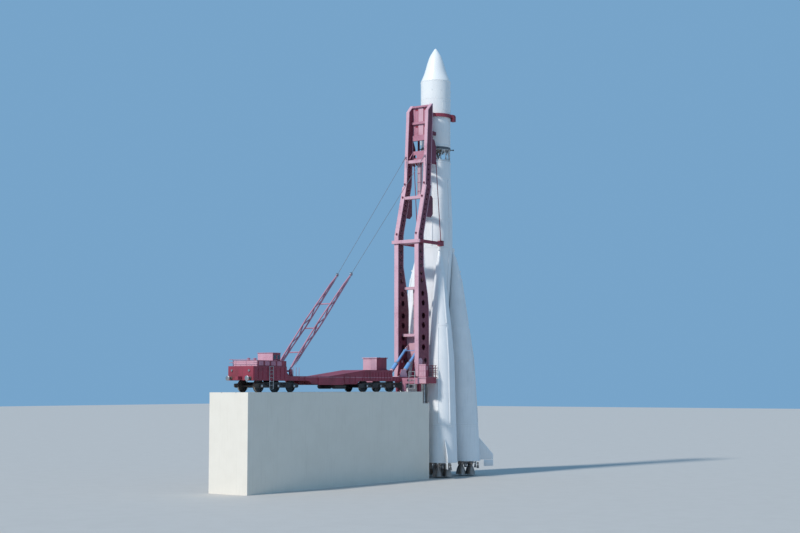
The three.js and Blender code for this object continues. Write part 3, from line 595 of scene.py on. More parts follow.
def show(
    made: Shape | bpy.types.Mesh,
    name: str,
    body: str,
    finish: Finish,
    replaces: Sequence[str] = (),
    bevel: float = 0.0,
) -> bpy.types.Object:
    """Makes a piece from a shape.

    Args:
        made: its shape or mesh.
        name: the piece's name.
        body: the CAD body that it rides on.
        finish: its finish.
        replaces: CAD nodes that it stands for.
        bevel: width of a Bevel modifier, or 0.

    Returns:
        The piece.
    """
    mesh = made.mesh(name) if isinstance(made, Shape) else made
    mesh.materials.clear()
    mesh.materials.append(finish.material())
    mesh.shade_smooth()
    mesh.set_sharp_from_angle(angle=SMOOTH_ANGLE)
    piece = bpy.data.objects.new(name, mesh)
    bpy.context.scene.collection.objects.link(piece)
    if bevel:
        rounded = piece.modifiers.new("edges", "BEVEL")
        rounded.width = bevel
        rounded.segments = 1
        rounded.limit_method = "ANGLE"
        rounded.angle_limit = math.radians(50)
    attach(piece, body)
    if replaces:
        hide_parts(*replaces)
    LOG.info("%s: %d faces on %s", name, len(mesh.polygons), body)
    return piece


# Repeated things, by Geometry Nodes


class Grower:
    """A Geometry Nodes tree with named inputs that turns points or lines into a repeated thing."""

    def __init__(self, name: str, inputs: dict[str, float | Point]) -> None:
        """Starts the tree with a geometry input, the named inputs and a material input."""
        self.tree = bpy.data.node_groups.new(name, "GeometryNodeTree")
        face = self.tree.interface
        face.new_socket(name="Geometry", in_out="INPUT", socket_type="NodeSocketGeometry")
        for label, value in inputs.items():
            kind = "NodeSocketFloat" if isinstance(value, float) else "NodeSocketVector"
            face.new_socket(name=label, in_out="INPUT", socket_type=kind).default_value = value
        face.new_socket(name="Finish", in_out="INPUT", socket_type="NodeSocketMaterial")
        face.new_socket(name="Geometry", in_out="OUTPUT", socket_type="NodeSocketGeometry")
        self.write = Tree(self.tree)
        self.given = self.write.add("NodeGroupInput").outputs

    def out(self, kind: str, inputs: dict, **settings: str) -> bpy.types.NodeSocket:
        """Adds a node and gives its first output."""
        return self.write.add(kind, settings, inputs).outputs[0]

    def times(self, label: str, share: float) -> bpy.types.NodeSocket:
        """A named input times a number."""
        return self.out("ShaderNodeMath", {0: self.given[label], 1: share}, operation="MULTIPLY")

    def line(self) -> bpy.types.NodeSocket:
        """The given edges as a curve."""
        return self.out("GeometryNodeMeshToCurve", {0: self.given["Geometry"]})

    def spaced(self, line: bpy.types.NodeSocket) -> bpy.types.NodeSocket:
        """Points along a curve at the given pitch."""
        run = {"Curve": line, "Length": self.given["Pitch"]}
        return self.out("GeometryNodeResampleCurve", run, mode="LENGTH")

    def aim(self) -> bpy.types.NodeSocket:
        """Each point's direction."""
        return self.out("GeometryNodeInputNamedAttribute", {"Name": "aim"}, data_type="FLOAT_VECTOR")

    def turned(self) -> bpy.types.NodeSocket:
        """The turn that takes +Z to each point's direction."""
        return self.out("FunctionNodeAlignRotationToVector", {"Vector": self.aim()}, axis="Z")

    def bar(
        self, line: bpy.types.NodeSocket, offset: bpy.types.NodeSocket, ring: bpy.types.NodeSocket
    ) -> bpy.types.NodeSocket:
        """A bar with the ring's section along a curve that is moved by the offset."""
        moved = self.out("GeometryNodeSetPosition", {"Geometry": line, "Offset": offset})
        swept = {"Curve": moved, "Profile Curve": ring, "Fill Caps": True}
        return self.out("GeometryNodeCurveToMesh", swept)

    def close(self, *parts: bpy.types.NodeSocket) -> "Grower":
        """Joins the parts, makes them real and gives them the finish."""
        joined = self.write.add("GeometryNodeJoinGeometry")
        for part in parts:
            self.tree.links.new(part, joined.inputs[0])
        real = self.out("GeometryNodeRealizeInstances", {0: joined.outputs[0]})
        dressed = self.out("GeometryNodeSetMaterial", {"Geometry": real, "Material": self.given["Finish"]})
        self.write.add("NodeGroupOutput", {}, {0: dressed})
        return self

    def grow(
        self,
        name: str,
        points: Sequence[Point],
        edges: Sequence[tuple[int, int]],
        values: dict[str, float | Point],
        finish: Finish,
        aims: Sequence[Point] = (),
    ) -> bpy.types.Mesh:
        """Runs the tree on a mesh of points and edges.

        Args:
            name: the result's name.
            points: the mesh's points.
            edges: its edges.
            values: the tree's named inputs.
            finish: the material that the tree sets.
            aims: a direction for each point.

        Returns:
            A plain mesh.
        """
        base = bpy.data.meshes.new(name)
        base.from_pydata([tuple(p) for p in points], list(edges), [])
        if aims:
            layer = base.attributes.new("aim", "FLOAT_VECTOR", "POINT")
            layer.data.foreach_set("vector", [c for a in aims for c in a])
        holder = bpy.data.objects.new(name + "_seed", base)
        bpy.context.scene.collection.objects.link(holder)
        run = holder.modifiers.new("grow", "NODES")
        run.node_group = self.tree
        for item in self.tree.interface.items_tree:
            if item.in_out == "INPUT" and item.name in values:
                run[item.identifier] = values[item.name]
            elif item.in_out == "INPUT" and item.name == "Finish":
                run[item.identifier] = finish.material()
        graph = bpy.context.evaluated_depsgraph_get()
        result = bpy.data.meshes.new_from_object(holder.evaluated_get(graph), depsgraph=graph)
        holder.modifiers.remove(run)
        bpy.data.objects.remove(holder)
        bpy.data.meshes.remove(base)
        result.name = name
        return result


def stud_grower() -> Grower:
    """Bolt heads or rivets: one at each point, standing along its aim."""
    made = Grower("studs", {"Radius": 0.02, "Height": 0.02})
    radius, height = made.given["Radius"], made.given["Height"]
    points = made.out("GeometryNodeMeshToPoints", {"Mesh": made.given["Geometry"]})
    cone = {"Vertices": 6, "Radius Top": 0.72, "Radius Bottom": 1.0, "Depth": 1.0}
    head = made.out("GeometryNodeMeshCone", cone, fill_type="NGON")
    size = made.out("ShaderNodeCombineXYZ", {0: radius, 1: radius, 2: height})
    placed = {"Points": points, "Instance": head, "Rotation": made.turned(), "Scale": size}
    return made.close(made.out("GeometryNodeInstanceOnPoints", placed))


def railing_grower() -> Grower:
    """Posts and two rails along a line."""
    made = Grower("railing", {"Height": 1.0, "Pitch": 1.2, "Radius": 0.02})
    radius, height, line = made.given["Radius"], made.given["Height"], made.line()
    post = made.out("GeometryNodeMeshCylinder", {"Vertices": 10, "Radius": radius, "Depth": height})
    rise = made.out("ShaderNodeCombineXYZ", {2: made.times("Height", 0.5)})
    raised = made.out("GeometryNodeTransform", {"Geometry": post, "Translation": rise})
    posts = made.out("GeometryNodeInstanceOnPoints", {"Points": made.spaced(line), "Instance": raised})
    ring = made.out("GeometryNodeCurvePrimitiveCircle", {"Resolution": 10, "Radius": radius})
    levels = [made.out("ShaderNodeCombineXYZ", {2: made.times("Height", share)}) for share in (1.0, 0.52)]
    return made.close(posts, *(made.bar(line, level, ring) for level in levels))


def ladder_grower() -> Grower:
    """Rungs between two stringers along a line; aim runs across the ladder."""
    made = Grower("ladder", {"Width": 0.4, "Pitch": 0.3, "Radius": 0.016})
    radius, width, line = made.given["Radius"], made.given["Width"], made.line()
    rung = made.out("GeometryNodeMeshCylinder", {"Vertices": 8, "Radius": radius, "Depth": width})
    placed = {"Points": made.spaced(line), "Instance": rung, "Rotation": made.turned()}
    rungs = made.out("GeometryNodeInstanceOnPoints", placed)
    profile = {"Resolution": 8, "Radius": made.times("Radius", 1.5)}
    ring = made.out("GeometryNodeCurvePrimitiveCircle", profile)
    sides = []
    for share in (-0.5, 0.5):
        scaled = {0: made.aim(), "Scale": made.times("Width", share)}
        sides.append(made.out("ShaderNodeVectorMath", scaled, operation="SCALE"))
    return made.close(rungs, *(made.bar(line, side, ring) for side in sides))


def rib_grower() -> Grower:
    """Equal blocks spaced along a line."""
    made = Grower("ribs", {"Size": (0.05, 0.05, 0.05), "Pitch": 0.3})
    block = made.out("GeometryNodeMeshCube", {"Size": made.given["Size"]})
    placed = {"Points": made.spaced(made.line()), "Instance": block}
    return made.close(made.out("GeometryNodeInstanceOnPoints", placed))


@dataclass
class Trims:
    """The growers, made once."""

    studs: Grower
    railing: Grower
    ladder: Grower
    ribs: Grower

    @classmethod
    def make(cls) -> "Trims":
        """Builds all four."""
        return cls(stud_grower(), railing_grower(), ladder_grower(), rib_grower())

    def bolts(
        self, name: str, body: str, finish: Finish, spots: Sequence[Spot], radius: float, height: float
    ) -> None:
        """Bolt heads at (point, direction) pairs."""
        points, aims = zip(*spots)
        mesh = self.studs.grow(name, points, [], {"Radius": radius, "Height": height}, finish, aims)
        show(mesh, name, body, finish)

    def along(
        self,
        grower: Grower,
        name: str,
        body: str,
        finish: Finish,
        lines: Sequence[Sequence[Point]],
        values: dict[str, float | Point],
        aim: Point | None = None,
    ) -> None:
        """Runs one grower along several lines.

        Args:
            grower: the tree.
            name: the piece's name.
            body: the body that it rides on.
            finish: its finish.
            lines: the lines' points.
            values: the tree's named inputs.
            aim: one direction for all points, or None.
        """
        points: list[Point] = []
        edges: list[tuple[int, int]] = []
        for line in lines:
            base = len(points)
            points.extend(line)
            edges.extend((base + i, base + i + 1) for i in range(len(line) - 1))
        aims = [aim] * len(points) if aim else ()
        show(grower.grow(name, points, edges, values, finish, aims), name, body, finish)


# Rocket


def smooth_rows(rows: Rows, steps: int = 6) -> list[tuple[float, float]]:
    """A curve through rows of (radius, height), rounded between them.

    Args:
        rows: the rows that it passes through.
        steps: the pieces between two of them.

    Returns:
        The rows of the curve.
    """
    out: list[tuple[float, float]] = []
    for k in range(len(rows) - 1):
        four = (rows[max(k - 1, 0)], rows[k], rows[k + 1], rows[min(k + 2, len(rows) - 1)])
        bends = [
            (2 * b, c - a, 2 * a - 5 * b + 4 * c - d, 3 * b - a - 3 * c + d) for a, b, c, d in zip(*four)
        ]
        for t in (i / steps for i in range(steps)):
            out.append(tuple(0.5 * (p + q * t + r * t * t + s * t**3) for p, q, r, s in bends))
    return [*out, tuple(rows[-1])]


def lifted(rows: Rows) -> list[tuple[float, float]]:
    """Rows in heights above the nozzles' mouths, moved to heights above the rails."""
    return [(r, up(z)) for r, z in rows]


def round_spots(radius: float, height: float, count: int) -> list[Spot]:
    """Points round the rocket at a height above the nozzles' mouths, each with its outward direction."""
    angles = [2 * math.pi * i / count for i in range(count)]
    return [(polar(radius, a, up(height)), polar(1.0, a)) for a in angles]


def band(shape: Shape, radius: float, low: float, high: float, proud: float = 0.012) -> None:
    """Adds a raised hoop round the rocket's axis, with its edges chamfered."""
    edge = min(proud, (high - low) / 3)
    rows = [
        (radius - 0.02, low), (radius, low), (radius + proud, low + edge), (radius + proud, high - edge),
        (radius, high), (radius - 0.02, high),
    ]
    shape.lathe(lifted(rows), closed=True)


def hanger(shape: Shape, reach: float, side: float, top: float, turn: Matrix) -> None:
    """Adds the forked bracket that a steering chamber hangs in.

    Args:
        shape: the shape that gets it.
        reach: distance of its inner face from the axis.
        side: distance of its middle from the radial plane.
        top: height of its top above the nozzles' mouths.
        turn: the stage's turn about the axis.
    """
    outer = reach + 0.08
    for w in (side - 0.07, side + 0.045):
        shape.box((reach, w, up(0.93)), (outer, w + 0.025, up(top)), 0.004, turn)
    shape.box((reach, side - 0.07, up(1.08)), (outer, side + 0.07, up(top)), 0.006, turn)


def bell(shape: Shape, place: Matrix, mouth: float, length: float, sides: int = 40) -> None:
    """Adds an engine bell whose mouth is at the place and that rises along its +Z.

    Args:
        shape: the shape that gets it.
        place: where the mouth's centre is.
        mouth: the mouth's radius.
        length: from the mouth to the top of the chamber.
        sides: facets round it.
    """
    outer = [
        (mouth, 0.0), (0.985 * mouth, 0.06 * length), (0.90 * mouth, 0.22 * length),
        (0.76 * mouth, 0.40 * length), (0.58 * mouth, 0.55 * length), (0.40 * mouth, 0.66 * length),
        (0.36 * mouth, 0.70 * length), (0.42 * mouth, 0.76 * length), (0.50 * mouth, 0.82 * length),
        (0.50 * mouth, 0.96 * length), (0.42 * mouth, length), (0.0, length),
    ]
    wall = 0.05 * mouth
    inner = [(r - wall, z) for r, z in outer[:7]]
    rows = [(0.0, 0.72 * length), *reversed(inner), *outer]
    rows[len(inner)] = (mouth - wall, 0.0)
    shape.lathe(rows, sides, place)
    for share, reach in ((0.03, 0.995), (0.20, 0.92), (0.37, 0.79), (0.52, 0.625)):
        z, r = share * length, reach * mouth
        rib = [(r - 0.01, z - 0.014), (r + 0.014, z - 0.01), (r + 0.014, z + 0.01), (r - 0.01, z + 0.014)]
        shape.lathe(rib, sides, place, closed=True)


@dataclass
class EngineBlock:
    """Four bells under one base plate, with the pump and its pipes between them."""

    centre: float
    turn: float
    pitch: float = 0.42
    plate: float = 0.56
    top: float = 1.30

    def shape(self) -> Shape:
        """The bells and chambers."""
        made = Shape()
        for i in (-1, 1):
            for j in (-1, 1):
                spot = Matrix.Translation((self.centre + i * self.pitch, j * self.pitch, up(0.0)))
                bell(made, about_z(self.turn) @ spot, 0.36, self.top - 0.06)
        return made

    def fittings(self) -> Shape:
        """The base plate, pump and pipes."""
        made, c = Shape(), self.centre
        place = Matrix.Translation((c, 0, 0))
        made.lathe(lifted([(0.0, 1.19), (self.plate, 1.19), (self.plate, 1.30), (0.0, 1.30)]), 64, place)
        pump = [(0.0, 0.62), (0.10, 0.62), (0.13, 0.70), (0.13, 1.0), (0.09, 1.08), (0.09, 1.2), (0.0, 1.2)]
        made.lathe(lifted(pump), 24, place)
        for i in (-1, 1):
            for j in (-1, 1):
                a = Vector((c + i * 0.10, j * 0.10, up(0.86)))
                b = Vector((c + i * self.pitch * 0.72, j * self.pitch * 0.72, up(1.12)))
                arch, shares = Vector((0, 0, 0.07)), (0, 0.2, 0.4, 0.6, 0.8, 1)
                made.tube([a.lerp(b, t) + arch * math.sin(math.pi * t) for t in shares], 0.035)
            p, z = self.pitch, up(1.13)
            made.rod((c + i * p, -p, z), (c + i * p, p, z), 0.03)
            made.rod((c - p, i * p, z), (c + p, i * p, z), 0.03)
        return Shape().merge(made, about_z(self.turn))


@dataclass
class Steering:
    """One steering chamber with its stub axle."""

    reach: float
    side: float
    turn: float
    hinge: float = 1.0
    length: float = 0.45

    def shape(self) -> Shape:
        """The chamber, its yoke and the stub."""
        made = Shape()
        z = up(self.hinge)
        mouth = Matrix.Translation((self.reach, self.side, z - self.length))
        bell(made, mouth, 0.11, self.length + 0.08, 24)
        made.rod((self.reach - 0.225, self.side, z), (self.reach + 0.05, self.side, z), 0.03)
        boss = [(0.0, z - 0.055), (0.075, z - 0.055), (0.085, z - 0.02), (0.085, z + 0.03), (0.0, z + 0.05)]
        made.lathe(boss, 24, Matrix.Translation((self.reach, self.side, 0)))
        return Shape().merge(made, about_z(self.turn))


@dataclass
class Upper:
    """Payload fairing, third stage, its engine and the open frame below it."""

    trims: Trims
    fairing: Rows = (
        (1.285, 35.40), (1.06, 35.95), (0.895, 36.48), (0.745, 37.01), (0.56, 37.54), (0.362, 37.90),
        (0.128, 38.26),
    )
    fairing_radius: float = 1.35
    fairing_hoops: Rows = ((32.02, 32.12), (33.55, 33.58), (35.21, 35.26))
    split_lines: Sequence[float] = (152.0, 332.0)
    hatches: Sequence[Triple] = ((258.0, 32.55, 33.35), (40.0, 33.0, 33.4))
    ports: Sequence[float] = (200.0, 235.0, 300.0, 60.0)
    stage_radius: float = 1.32
    stage_hoops: Rows = ((29.30, 29.42), (30.62, 30.66), (31.86, 31.98))
    stage_ducts: Sequence[float] = (128.0, 282.0)
    frame_outer: float = 1.324
    frame_inner: float = 1.21
    frame_rings: Rows = ((27.8703, 28.02), (28.94, 29.2097))
    pairs: int = 8
    steering: Rows = ((0.7, 0), (-0.7, 0), (0, 0.7), (0, -0.7))

    def build(self) -> None:
        """Makes all the pieces of the upper rocket."""
        self._fairing()
        self._stage()
        self._frame()
        self._engine()

    def _fairing(self) -> None:
        """The fairing, its hoops, split lines, hatches and ports."""
        radius = self.fairing_radius
        rows = [(0.0, 32.0003), (radius, 32.0003), (radius, 34.6), (radius, 35.275), (1.322, 35.285),
                *smooth_rows(self.fairing, 5), (0.09, 38.315), (0.05, 38.35), (0.0, 38.36)]
        show(Shape().lathe(lifted(rows), 128), "fairing_shell", "boom", WARM_WHITE, ["payload_fairing"])
        trim = Shape()
        for low, high in self.fairing_hoops:
            band(trim, radius, low, high, 0.010)
        for turn in self.split_lines:
            trim.box((1.33, -0.03, up(32.14)), (1.362, 0.03, up(34.98)), 0.006, about_z(turn))
        for turn, low, high in self.hatches:
            for edge in (-16.5, 16.5):
                trim.box((1.335, -0.012, up(low)), (1.362, 0.012, up(high)), 0.004, about_z(turn + edge))
            for z in (low, high):
                arc = [polar(1.352, math.radians(turn + d), up(z)) for d in range(-16, 17, 2)]
                trim.tube(arc, 0.012, 8)
        port = [(0.0, 0.0), (0.05, 0.0), (0.06, 0.012), (0.06, 0.02), (0.035, 0.022), (0.03, 0.01),
                (0.0, 0.01)]
        for turn in self.ports:
            a = math.radians(turn)
            trim.lathe(port, 24, aimed(polar(1.345, a, up(34.35)), polar(1.0, a)))
        show(trim, "fairing_trim", "boom", WARM_WHITE)
        spots = [*round_spots(1.366, 32.07, 72), *round_spots(1.366, 35.15, 72)]
        self.trims.bolts("fairing_bolts", "boom", WARM_WHITE, spots, 0.014, 0.012)

    def _stage(self) -> None:
        """The third stage's shell, its hoops and ducts."""
        rows = [(0.0, 29.21), (1.29, 29.21), (self.stage_radius, 29.27), (self.stage_radius, 32.0),
                (0.0, 32.0)]
        show(Shape().lathe(lifted(rows), 128), "third_stage_shell", "boom", WHITE, ["third_stage"])
        trim = Shape()
        for low, high in self.stage_hoops:
            band(trim, self.stage_radius, low, high)
        for turn in self.stage_ducts:
            trim.box((1.30, -0.07, up(29.45)), (1.385, 0.07, up(31.84)), 0.02, about_z(turn))
        show(trim, "third_stage_trim", "boom", WHITE)
        spots = [*round_spots(1.338, 29.36, 60), *round_spots(1.338, 31.92, 60)]
        self.trims.bolts("third_stage_bolts", "boom", WHITE, spots, 0.014, 0.012)

    def _frame(self) -> None:
        """The open frame of crossed tubes between two rings, and the dark ring with its four thrusters."""
        made = Shape()
        outer, inner = self.frame_outer, self.frame_inner
        for low, high in self.frame_rings:
            made.lathe(lifted([(inner, low), (outer, low), (outer, high), (inner, high)]), closed=True)
        mid = (outer + inner) / 2 - 0.008
        step = 2 * math.pi / self.pairs
        for i in range(self.pairs):
            top = (i + 0.5) * step
            for way in (-0.42, 0.42):
                a = Vector(polar(mid, top + way * step, up(27.98)))
                b = Vector(polar(mid, top + way * 0.12, up(28.98)))
                made.rod(a, b, 0.042)
                made.rod(a, a.lerp(b, 0.09), 0.056)
                made.rod(a.lerp(b, 0.91), b, 0.056)
        show(made, "open_frame", "boom", FRAME_GREY, ["interstage_truss"])
        dark = Shape()
        band(dark, outer - 0.004, 28.96, 29.19)
        thruster = [(0.0, 0.0), (0.06, 0.0), (0.06, 0.1), (0.045, 0.13), (0.045, 0.3), (0.07, 0.34),
                    (0.07, 0.41), (0.0, 0.41)]
        for turn in QUARTERS:
            a = math.radians(turn)
            dark.lathe(thruster, 24, aimed(polar(1.25, a, up(29.075)), polar(1.0, a)))
        show(dark, "stage_ring", "boom", BAND)

    def _engine(self) -> None:
        """The third stage's engine under a dished bulkhead."""
        made = Shape()
        bell(made, Matrix.Translation((0, 0, up(28.13))), 0.38, 0.99, 48)
        for x, y in self.steering:
            bell(made, Matrix.Translation((x, y, up(28.6))), 0.12, 0.5, 24)
        manifold = [polar(0.52, 2 * math.pi * i / 40, up(28.93)) for i in range(40)]
        made.tube(manifold, 0.075, 16, closed=True)
        for turn in QUARTERS:
            a = math.radians(turn)
            made.rod(polar(0.52, a, up(28.93)), polar(0.17, a, up(28.86)), 0.028)
        show(made, "upper_engine_bells", "boom", BELL, ["third_stage_engine"])
        dome = [(0.0, 28.98), (0.45, 29.0), (0.85, 29.07), (0.9, 29.10), (0.9, 29.2097), (0.0, 29.2097)]
        show(Shape().lathe(lifted(dome), 64), "upper_bulkhead", "boom", FRAME_GREY)


@dataclass
class Core:
    """Core stage with its engine, hoops, ducts and the fittings of the strap-ons."""

    trims: Trims
    outline: Rows = ((1.025, 1.3), (1.025, 13.1), (1.475, 20.1), (1.475, 22.6), (1.324, 26.4),
                     (1.324, 27.87))
    hoops: Rows = (
        (1.42, 0.04), (5.2, 0.04), (9.1, 0.04), (13.05, 0.04), (16.6, 0.04), (20.1, 0.09), (22.58, 0.09),
        (24.5, 0.04), (26.38, 0.09), (27.78, 0.09),
    )
    ducts: Sequence[Triple] = (
        (268.0, 13.6, 19.9), (268.0, 20.3, 22.4), (268.0, 22.8, 26.2), (88.0, 13.6, 19.9),
        (88.0, 20.3, 22.4), (88.0, 22.8, 26.2), (200.0, 20.3, 22.4),
    )
    duct_section: Rows = (
        (-0.03, -0.075), (0.045, -0.065), (0.06, -0.05), (0.06, 0.05), (0.045, 0.065), (-0.03, 0.075),
    )
    bolt_rings: Sequence[tuple[float, int]] = ((22.58, 64), (26.38, 60), (27.78, 60), (20.1, 64))

    def radius_at(self, height: float) -> float:
        """The shell's radius at a height above the nozzles' mouths."""
        for (r0, z0), (r1, z1) in zip(self.outline, self.outline[1:]):
            if height <= z1:
                return r0 + (r1 - r0) * (height - z0) / (z1 - z0)
        return self.outline[-1][0]

    def build(self) -> None:
        """Makes the core's pieces."""
        self._shell()
        trim = Shape()
        for z, wide in self.hoops:
            low, high = z - wide / 2, z + wide / 2
            band(trim, min(self.radius_at(low), self.radius_at(high)), low, high, 0.011)
        for turn, low, high in self.ducts:
            self._duct(trim, turn, low, high)
        show(trim, "core_trim", "boom", WHITE)
        spots = []
        for z, count in self.bolt_rings:
            spots.extend(round_spots(self.radius_at(z) + 0.008, z, count))
        self.trims.bolts("core_bolts", "boom", WHITE, spots, 0.013, 0.014)
        engine = EngineBlock(0.0, 0.0)
        show(engine.shape(), "core_bells", "boom", BELL, ["core_engine"])
        show(engine.fittings(), "core_engine_fittings", "boom", STEEL)
        for k in range(4):
            node = f"core_vernier_{k + 1}"
            show(Steering(0.8, 0.0, 90.0 * k).shape(), f"core_steering_{k + 1}", node, BELL, [node])

    def _shell(self) -> None:
        """The shell with the strap-ons' seats and the steering chambers' hangers."""
        rows = [(0.0, self.outline[0][1]), *self.outline, (0.0, self.outline[-1][1])]
        shell = Shape().lathe(lifted(rows), 128)
        for turn in QUARTERS:
            spin = about_z(turn)
            shell.box((1.30, -0.09, up(19.8003)), (1.68, 0.09, up(20.15)), 0.02, spin)
            shell.box((0.9, -0.14, up(2.0)), (1.2, 0.14, up(2.3)), 0.02, spin)
        for k in range(4):
            hanger(shell, 0.57, 0.0, 1.32, about_z(90 * k))
        show(shell, "core_shell", "boom", WHITE, ["core_stage"])

    def _duct(self, shape: Shape, turn: float, low: float, high: float) -> None:
        """Adds a cable duct that follows the shell between two heights."""
        spin = about_z(turn)
        ends = [(self.radius_at(z), up(z)) for z in (low, high)]
        shape.loft([[spin @ Vector((r + x, y, z)) for x, y in self.duct_section] for r, z in ends])


@dataclass
class StrapOn:
    """One strap-on stage: leaning shell, tail with its fin, engine and steering chambers."""

    trims: Trims
    number: int
    turn: float
    rows: Sequence[Triple] = (
        (0.0, 1.560, 0.060), (0.25, 1.600, 0.120), (0.6, 1.668, 0.215), (2.2, 1.820, 0.468),
        (6.7, 2.012, 0.950), (9.6, 2.230, 1.168), (18.6, 2.620, 1.340),
    )
    top: float = 19.8
    tail_joint: float = 4.4
    base: float = 1.2
    sides: int = 80
    hoops: Rows = (
        (17.6, 0.05), (15.4, 0.03), (13.1, 0.05), (10.2, 0.05), (7.2, 0.03), (4.46, 0.07), (4.3, 0.05),
        (2.6, 0.04), (1.26, 0.09),
    )
    duct_bearings: Sequence[float] = (-24.0, 24.0)
    duct_runs: Rows = ((4.6, 12.9), (13.3, 17.4))
    duct_section: Rows = (
        (-0.03, -0.055), (0.035, -0.048), (0.05, -0.035), (0.05, 0.035), (0.035, 0.048), (-0.03, 0.055),
    )
    bolt_rings: Sequence[float] = (13.1, 4.46, 1.26)
    fin: Rows = ((3.80, 3.32), (5.15, 1.75), (5.15, 1.28), (3.80, 1.28))
    rudder: Rows = ((4.3, 1.25), (5.15, 1.25), (5.15, 0.70), (4.3, 0.70))

    def at(self, height: float) -> tuple[float, float]:
        """Centre and radius of the level section at a height."""
        d = self.top - height
        for (d0, x0, r0), (d1, x1, r1) in zip(self.rows, self.rows[1:]):
            if d <= d1:
                t = (d - d0) / (d1 - d0)
                return x0 + t * (x1 - x0), r0 + t * (r1 - r0)
        return self.rows[-1][1], self.rows[-1][2]

    def ring(self, height: float, proud: float = 0.0) -> Ring:
        """The level section's corners."""
        x, r = self.at(height)
        spin, z = about_z(self.turn), up(height)
        corners = (polar(r + proud, 2 * math.pi * i / self.sides, z) for i in range(self.sides))
        return [spin @ Vector((x + u, v, w)) for u, v, w in corners]

    def build(self) -> None:
        """Makes the strap-on's pieces."""
        n, spin = self.number, about_z(self.turn)
        self._tank(spin)
        show(self._tail(spin), f"strap_on_skirt_{n}", "boom", WHITE, [f"strap_on_tail_{n}"])
        trim = Shape()
        for z, wide in self.hoops:
            self._hoop(trim, z - wide / 2, z + wide / 2)
        for bearing in self.duct_bearings:
            for low, high in self.duct_runs:
                self._duct(trim, bearing, low, high)
        show(trim, f"strap_on_trim_{n}", "boom", WHITE)
        self.trims.bolts(f"strap_on_bolts_{n}", "boom", WHITE, self._bolts(spin), 0.013, 0.012)
        centre = self.at(self.base)[0]
        engine = EngineBlock(centre, self.turn, top=1.1997)
        show(engine.shape(), f"strap_on_bells_{n}", "boom", BELL, [f"strap_on_engine_{n}"])
        show(engine.fittings(), f"strap_on_fittings_{n}", "boom", STEEL)
        for k, side in enumerate(BOTH, 2 * n - 1):
            node = f"strap_on_vernier_{k}"
            chamber = Steering(centre + 1.02, side * 0.55, self.turn)
            show(chamber.shape(), f"strap_on_steering_{k}", node, BELL, [node])

    def _tank(self, spin: Matrix) -> None:
        """The leaning shell with the ball at its nose and the rear lug."""
        heights = [self.top - row[0] for row in self.rows if self.top - row[0] > self.tail_joint]
        tank = Shape().loft([self.ring(z) for z in [*heights, self.tail_joint + 0.0003]])
        ball = [(0.0, -0.02), (0.05, -0.02), (0.062, 0.02), (0.05, 0.06), (0.0, 0.075)]
        tank.lathe(ball, 24, spin @ Matrix.Translation((self.at(19.75)[0], 0, up(19.72))))
        lug = sum(self.at(18.06))
        tank.box((lug - 0.06, -0.06, up(18.0)), (lug + 0.09, 0.06, up(18.12)), 0.015, spin)
        show(tank, f"strap_on_shell_{self.number}", "boom", WHITE, [f"strap_on_tank_{self.number}"])

    def _bolts(self, spin: Matrix) -> list[Spot]:
        """Bolts round three joints of the shell."""
        spots = []
        for z in self.bolt_rings:
            x, r = self.at(z)
            for i in range(48):
                out = Vector(polar(1.0, 2 * math.pi * i / 48))
                at = out * (r + 0.012) + Vector((x, 0.0, up(z)))
                spots.append((tuple(spin @ at), tuple(spin @ out)))
        return spots

    def _tail(self, spin: Matrix) -> Shape:
        """The skirt, its pad, the fin with its rudder and the steering hangers."""
        made = Shape().loft([self.ring(z) for z in (self.tail_joint, 2.6, self.base)])
        made.box((1.2003, -0.14, up(2.0)), (1.5, 0.14, up(2.3)), 0.02, spin)
        for outline, thick in ((self.fin, 0.03), (self.rudder, 0.022)):
            c = (sum(u for u, _ in outline) / 4, sum(v for _, v in outline) / 4)
            core = [(c[0] + (u - c[0]) * 0.93, c[1] + (v - c[1]) * 0.93) for u, v in outline]
            layers = ((core, -thick), (outline, -0.010), (outline, 0.010), (core, thick))
            made.loft([[spin @ Vector((u, w, up(v))) for u, v in loop] for loop, w in layers])
        for x in (4.42, 4.95):
            made.rod(spin @ Vector((x, 0, up(1.30))), spin @ Vector((x, 0, up(1.22))), 0.02)
        for side in BOTH:
            hanger(made, self.at(self.base)[0] + 0.79, side * 0.55, 1.24, spin)
        return made

    def _hoop(self, shape: Shape, low: float, high: float) -> None:
        """Adds a raised hoop round the leaning shell."""
        edge = min(0.011, (high - low) / 3)
        rise, fall = (low + edge, 0.011), (high - edge, 0.011)
        rows = ((low, -0.02), (low, 0.0), rise, fall, (high, 0.0), (high, -0.02))
        shape.loft([self.ring(z, proud) for z, proud in rows], closed=True)

    def _duct(self, shape: Shape, bearing: float, low: float, high: float) -> None:
        """Adds a cable duct along the shell at a bearing from its outer line."""
        spin = about_z(self.turn)
        a = math.radians(bearing)
        c, s = math.cos(a), math.sin(a)
        rings, breaks = [], [self.top - row[0] for row in reversed(self.rows)]
        for z in [low, *(z for z in breaks if low < z < high), high]:
            x, r = self.at(z)
            rings.append([
                spin @ Vector((x + (r + out) * c - side * s, (r + out) * s + side * c, up(z)))
                for out, side in self.duct_section
            ])
        shape.loft(rings)


# Boom


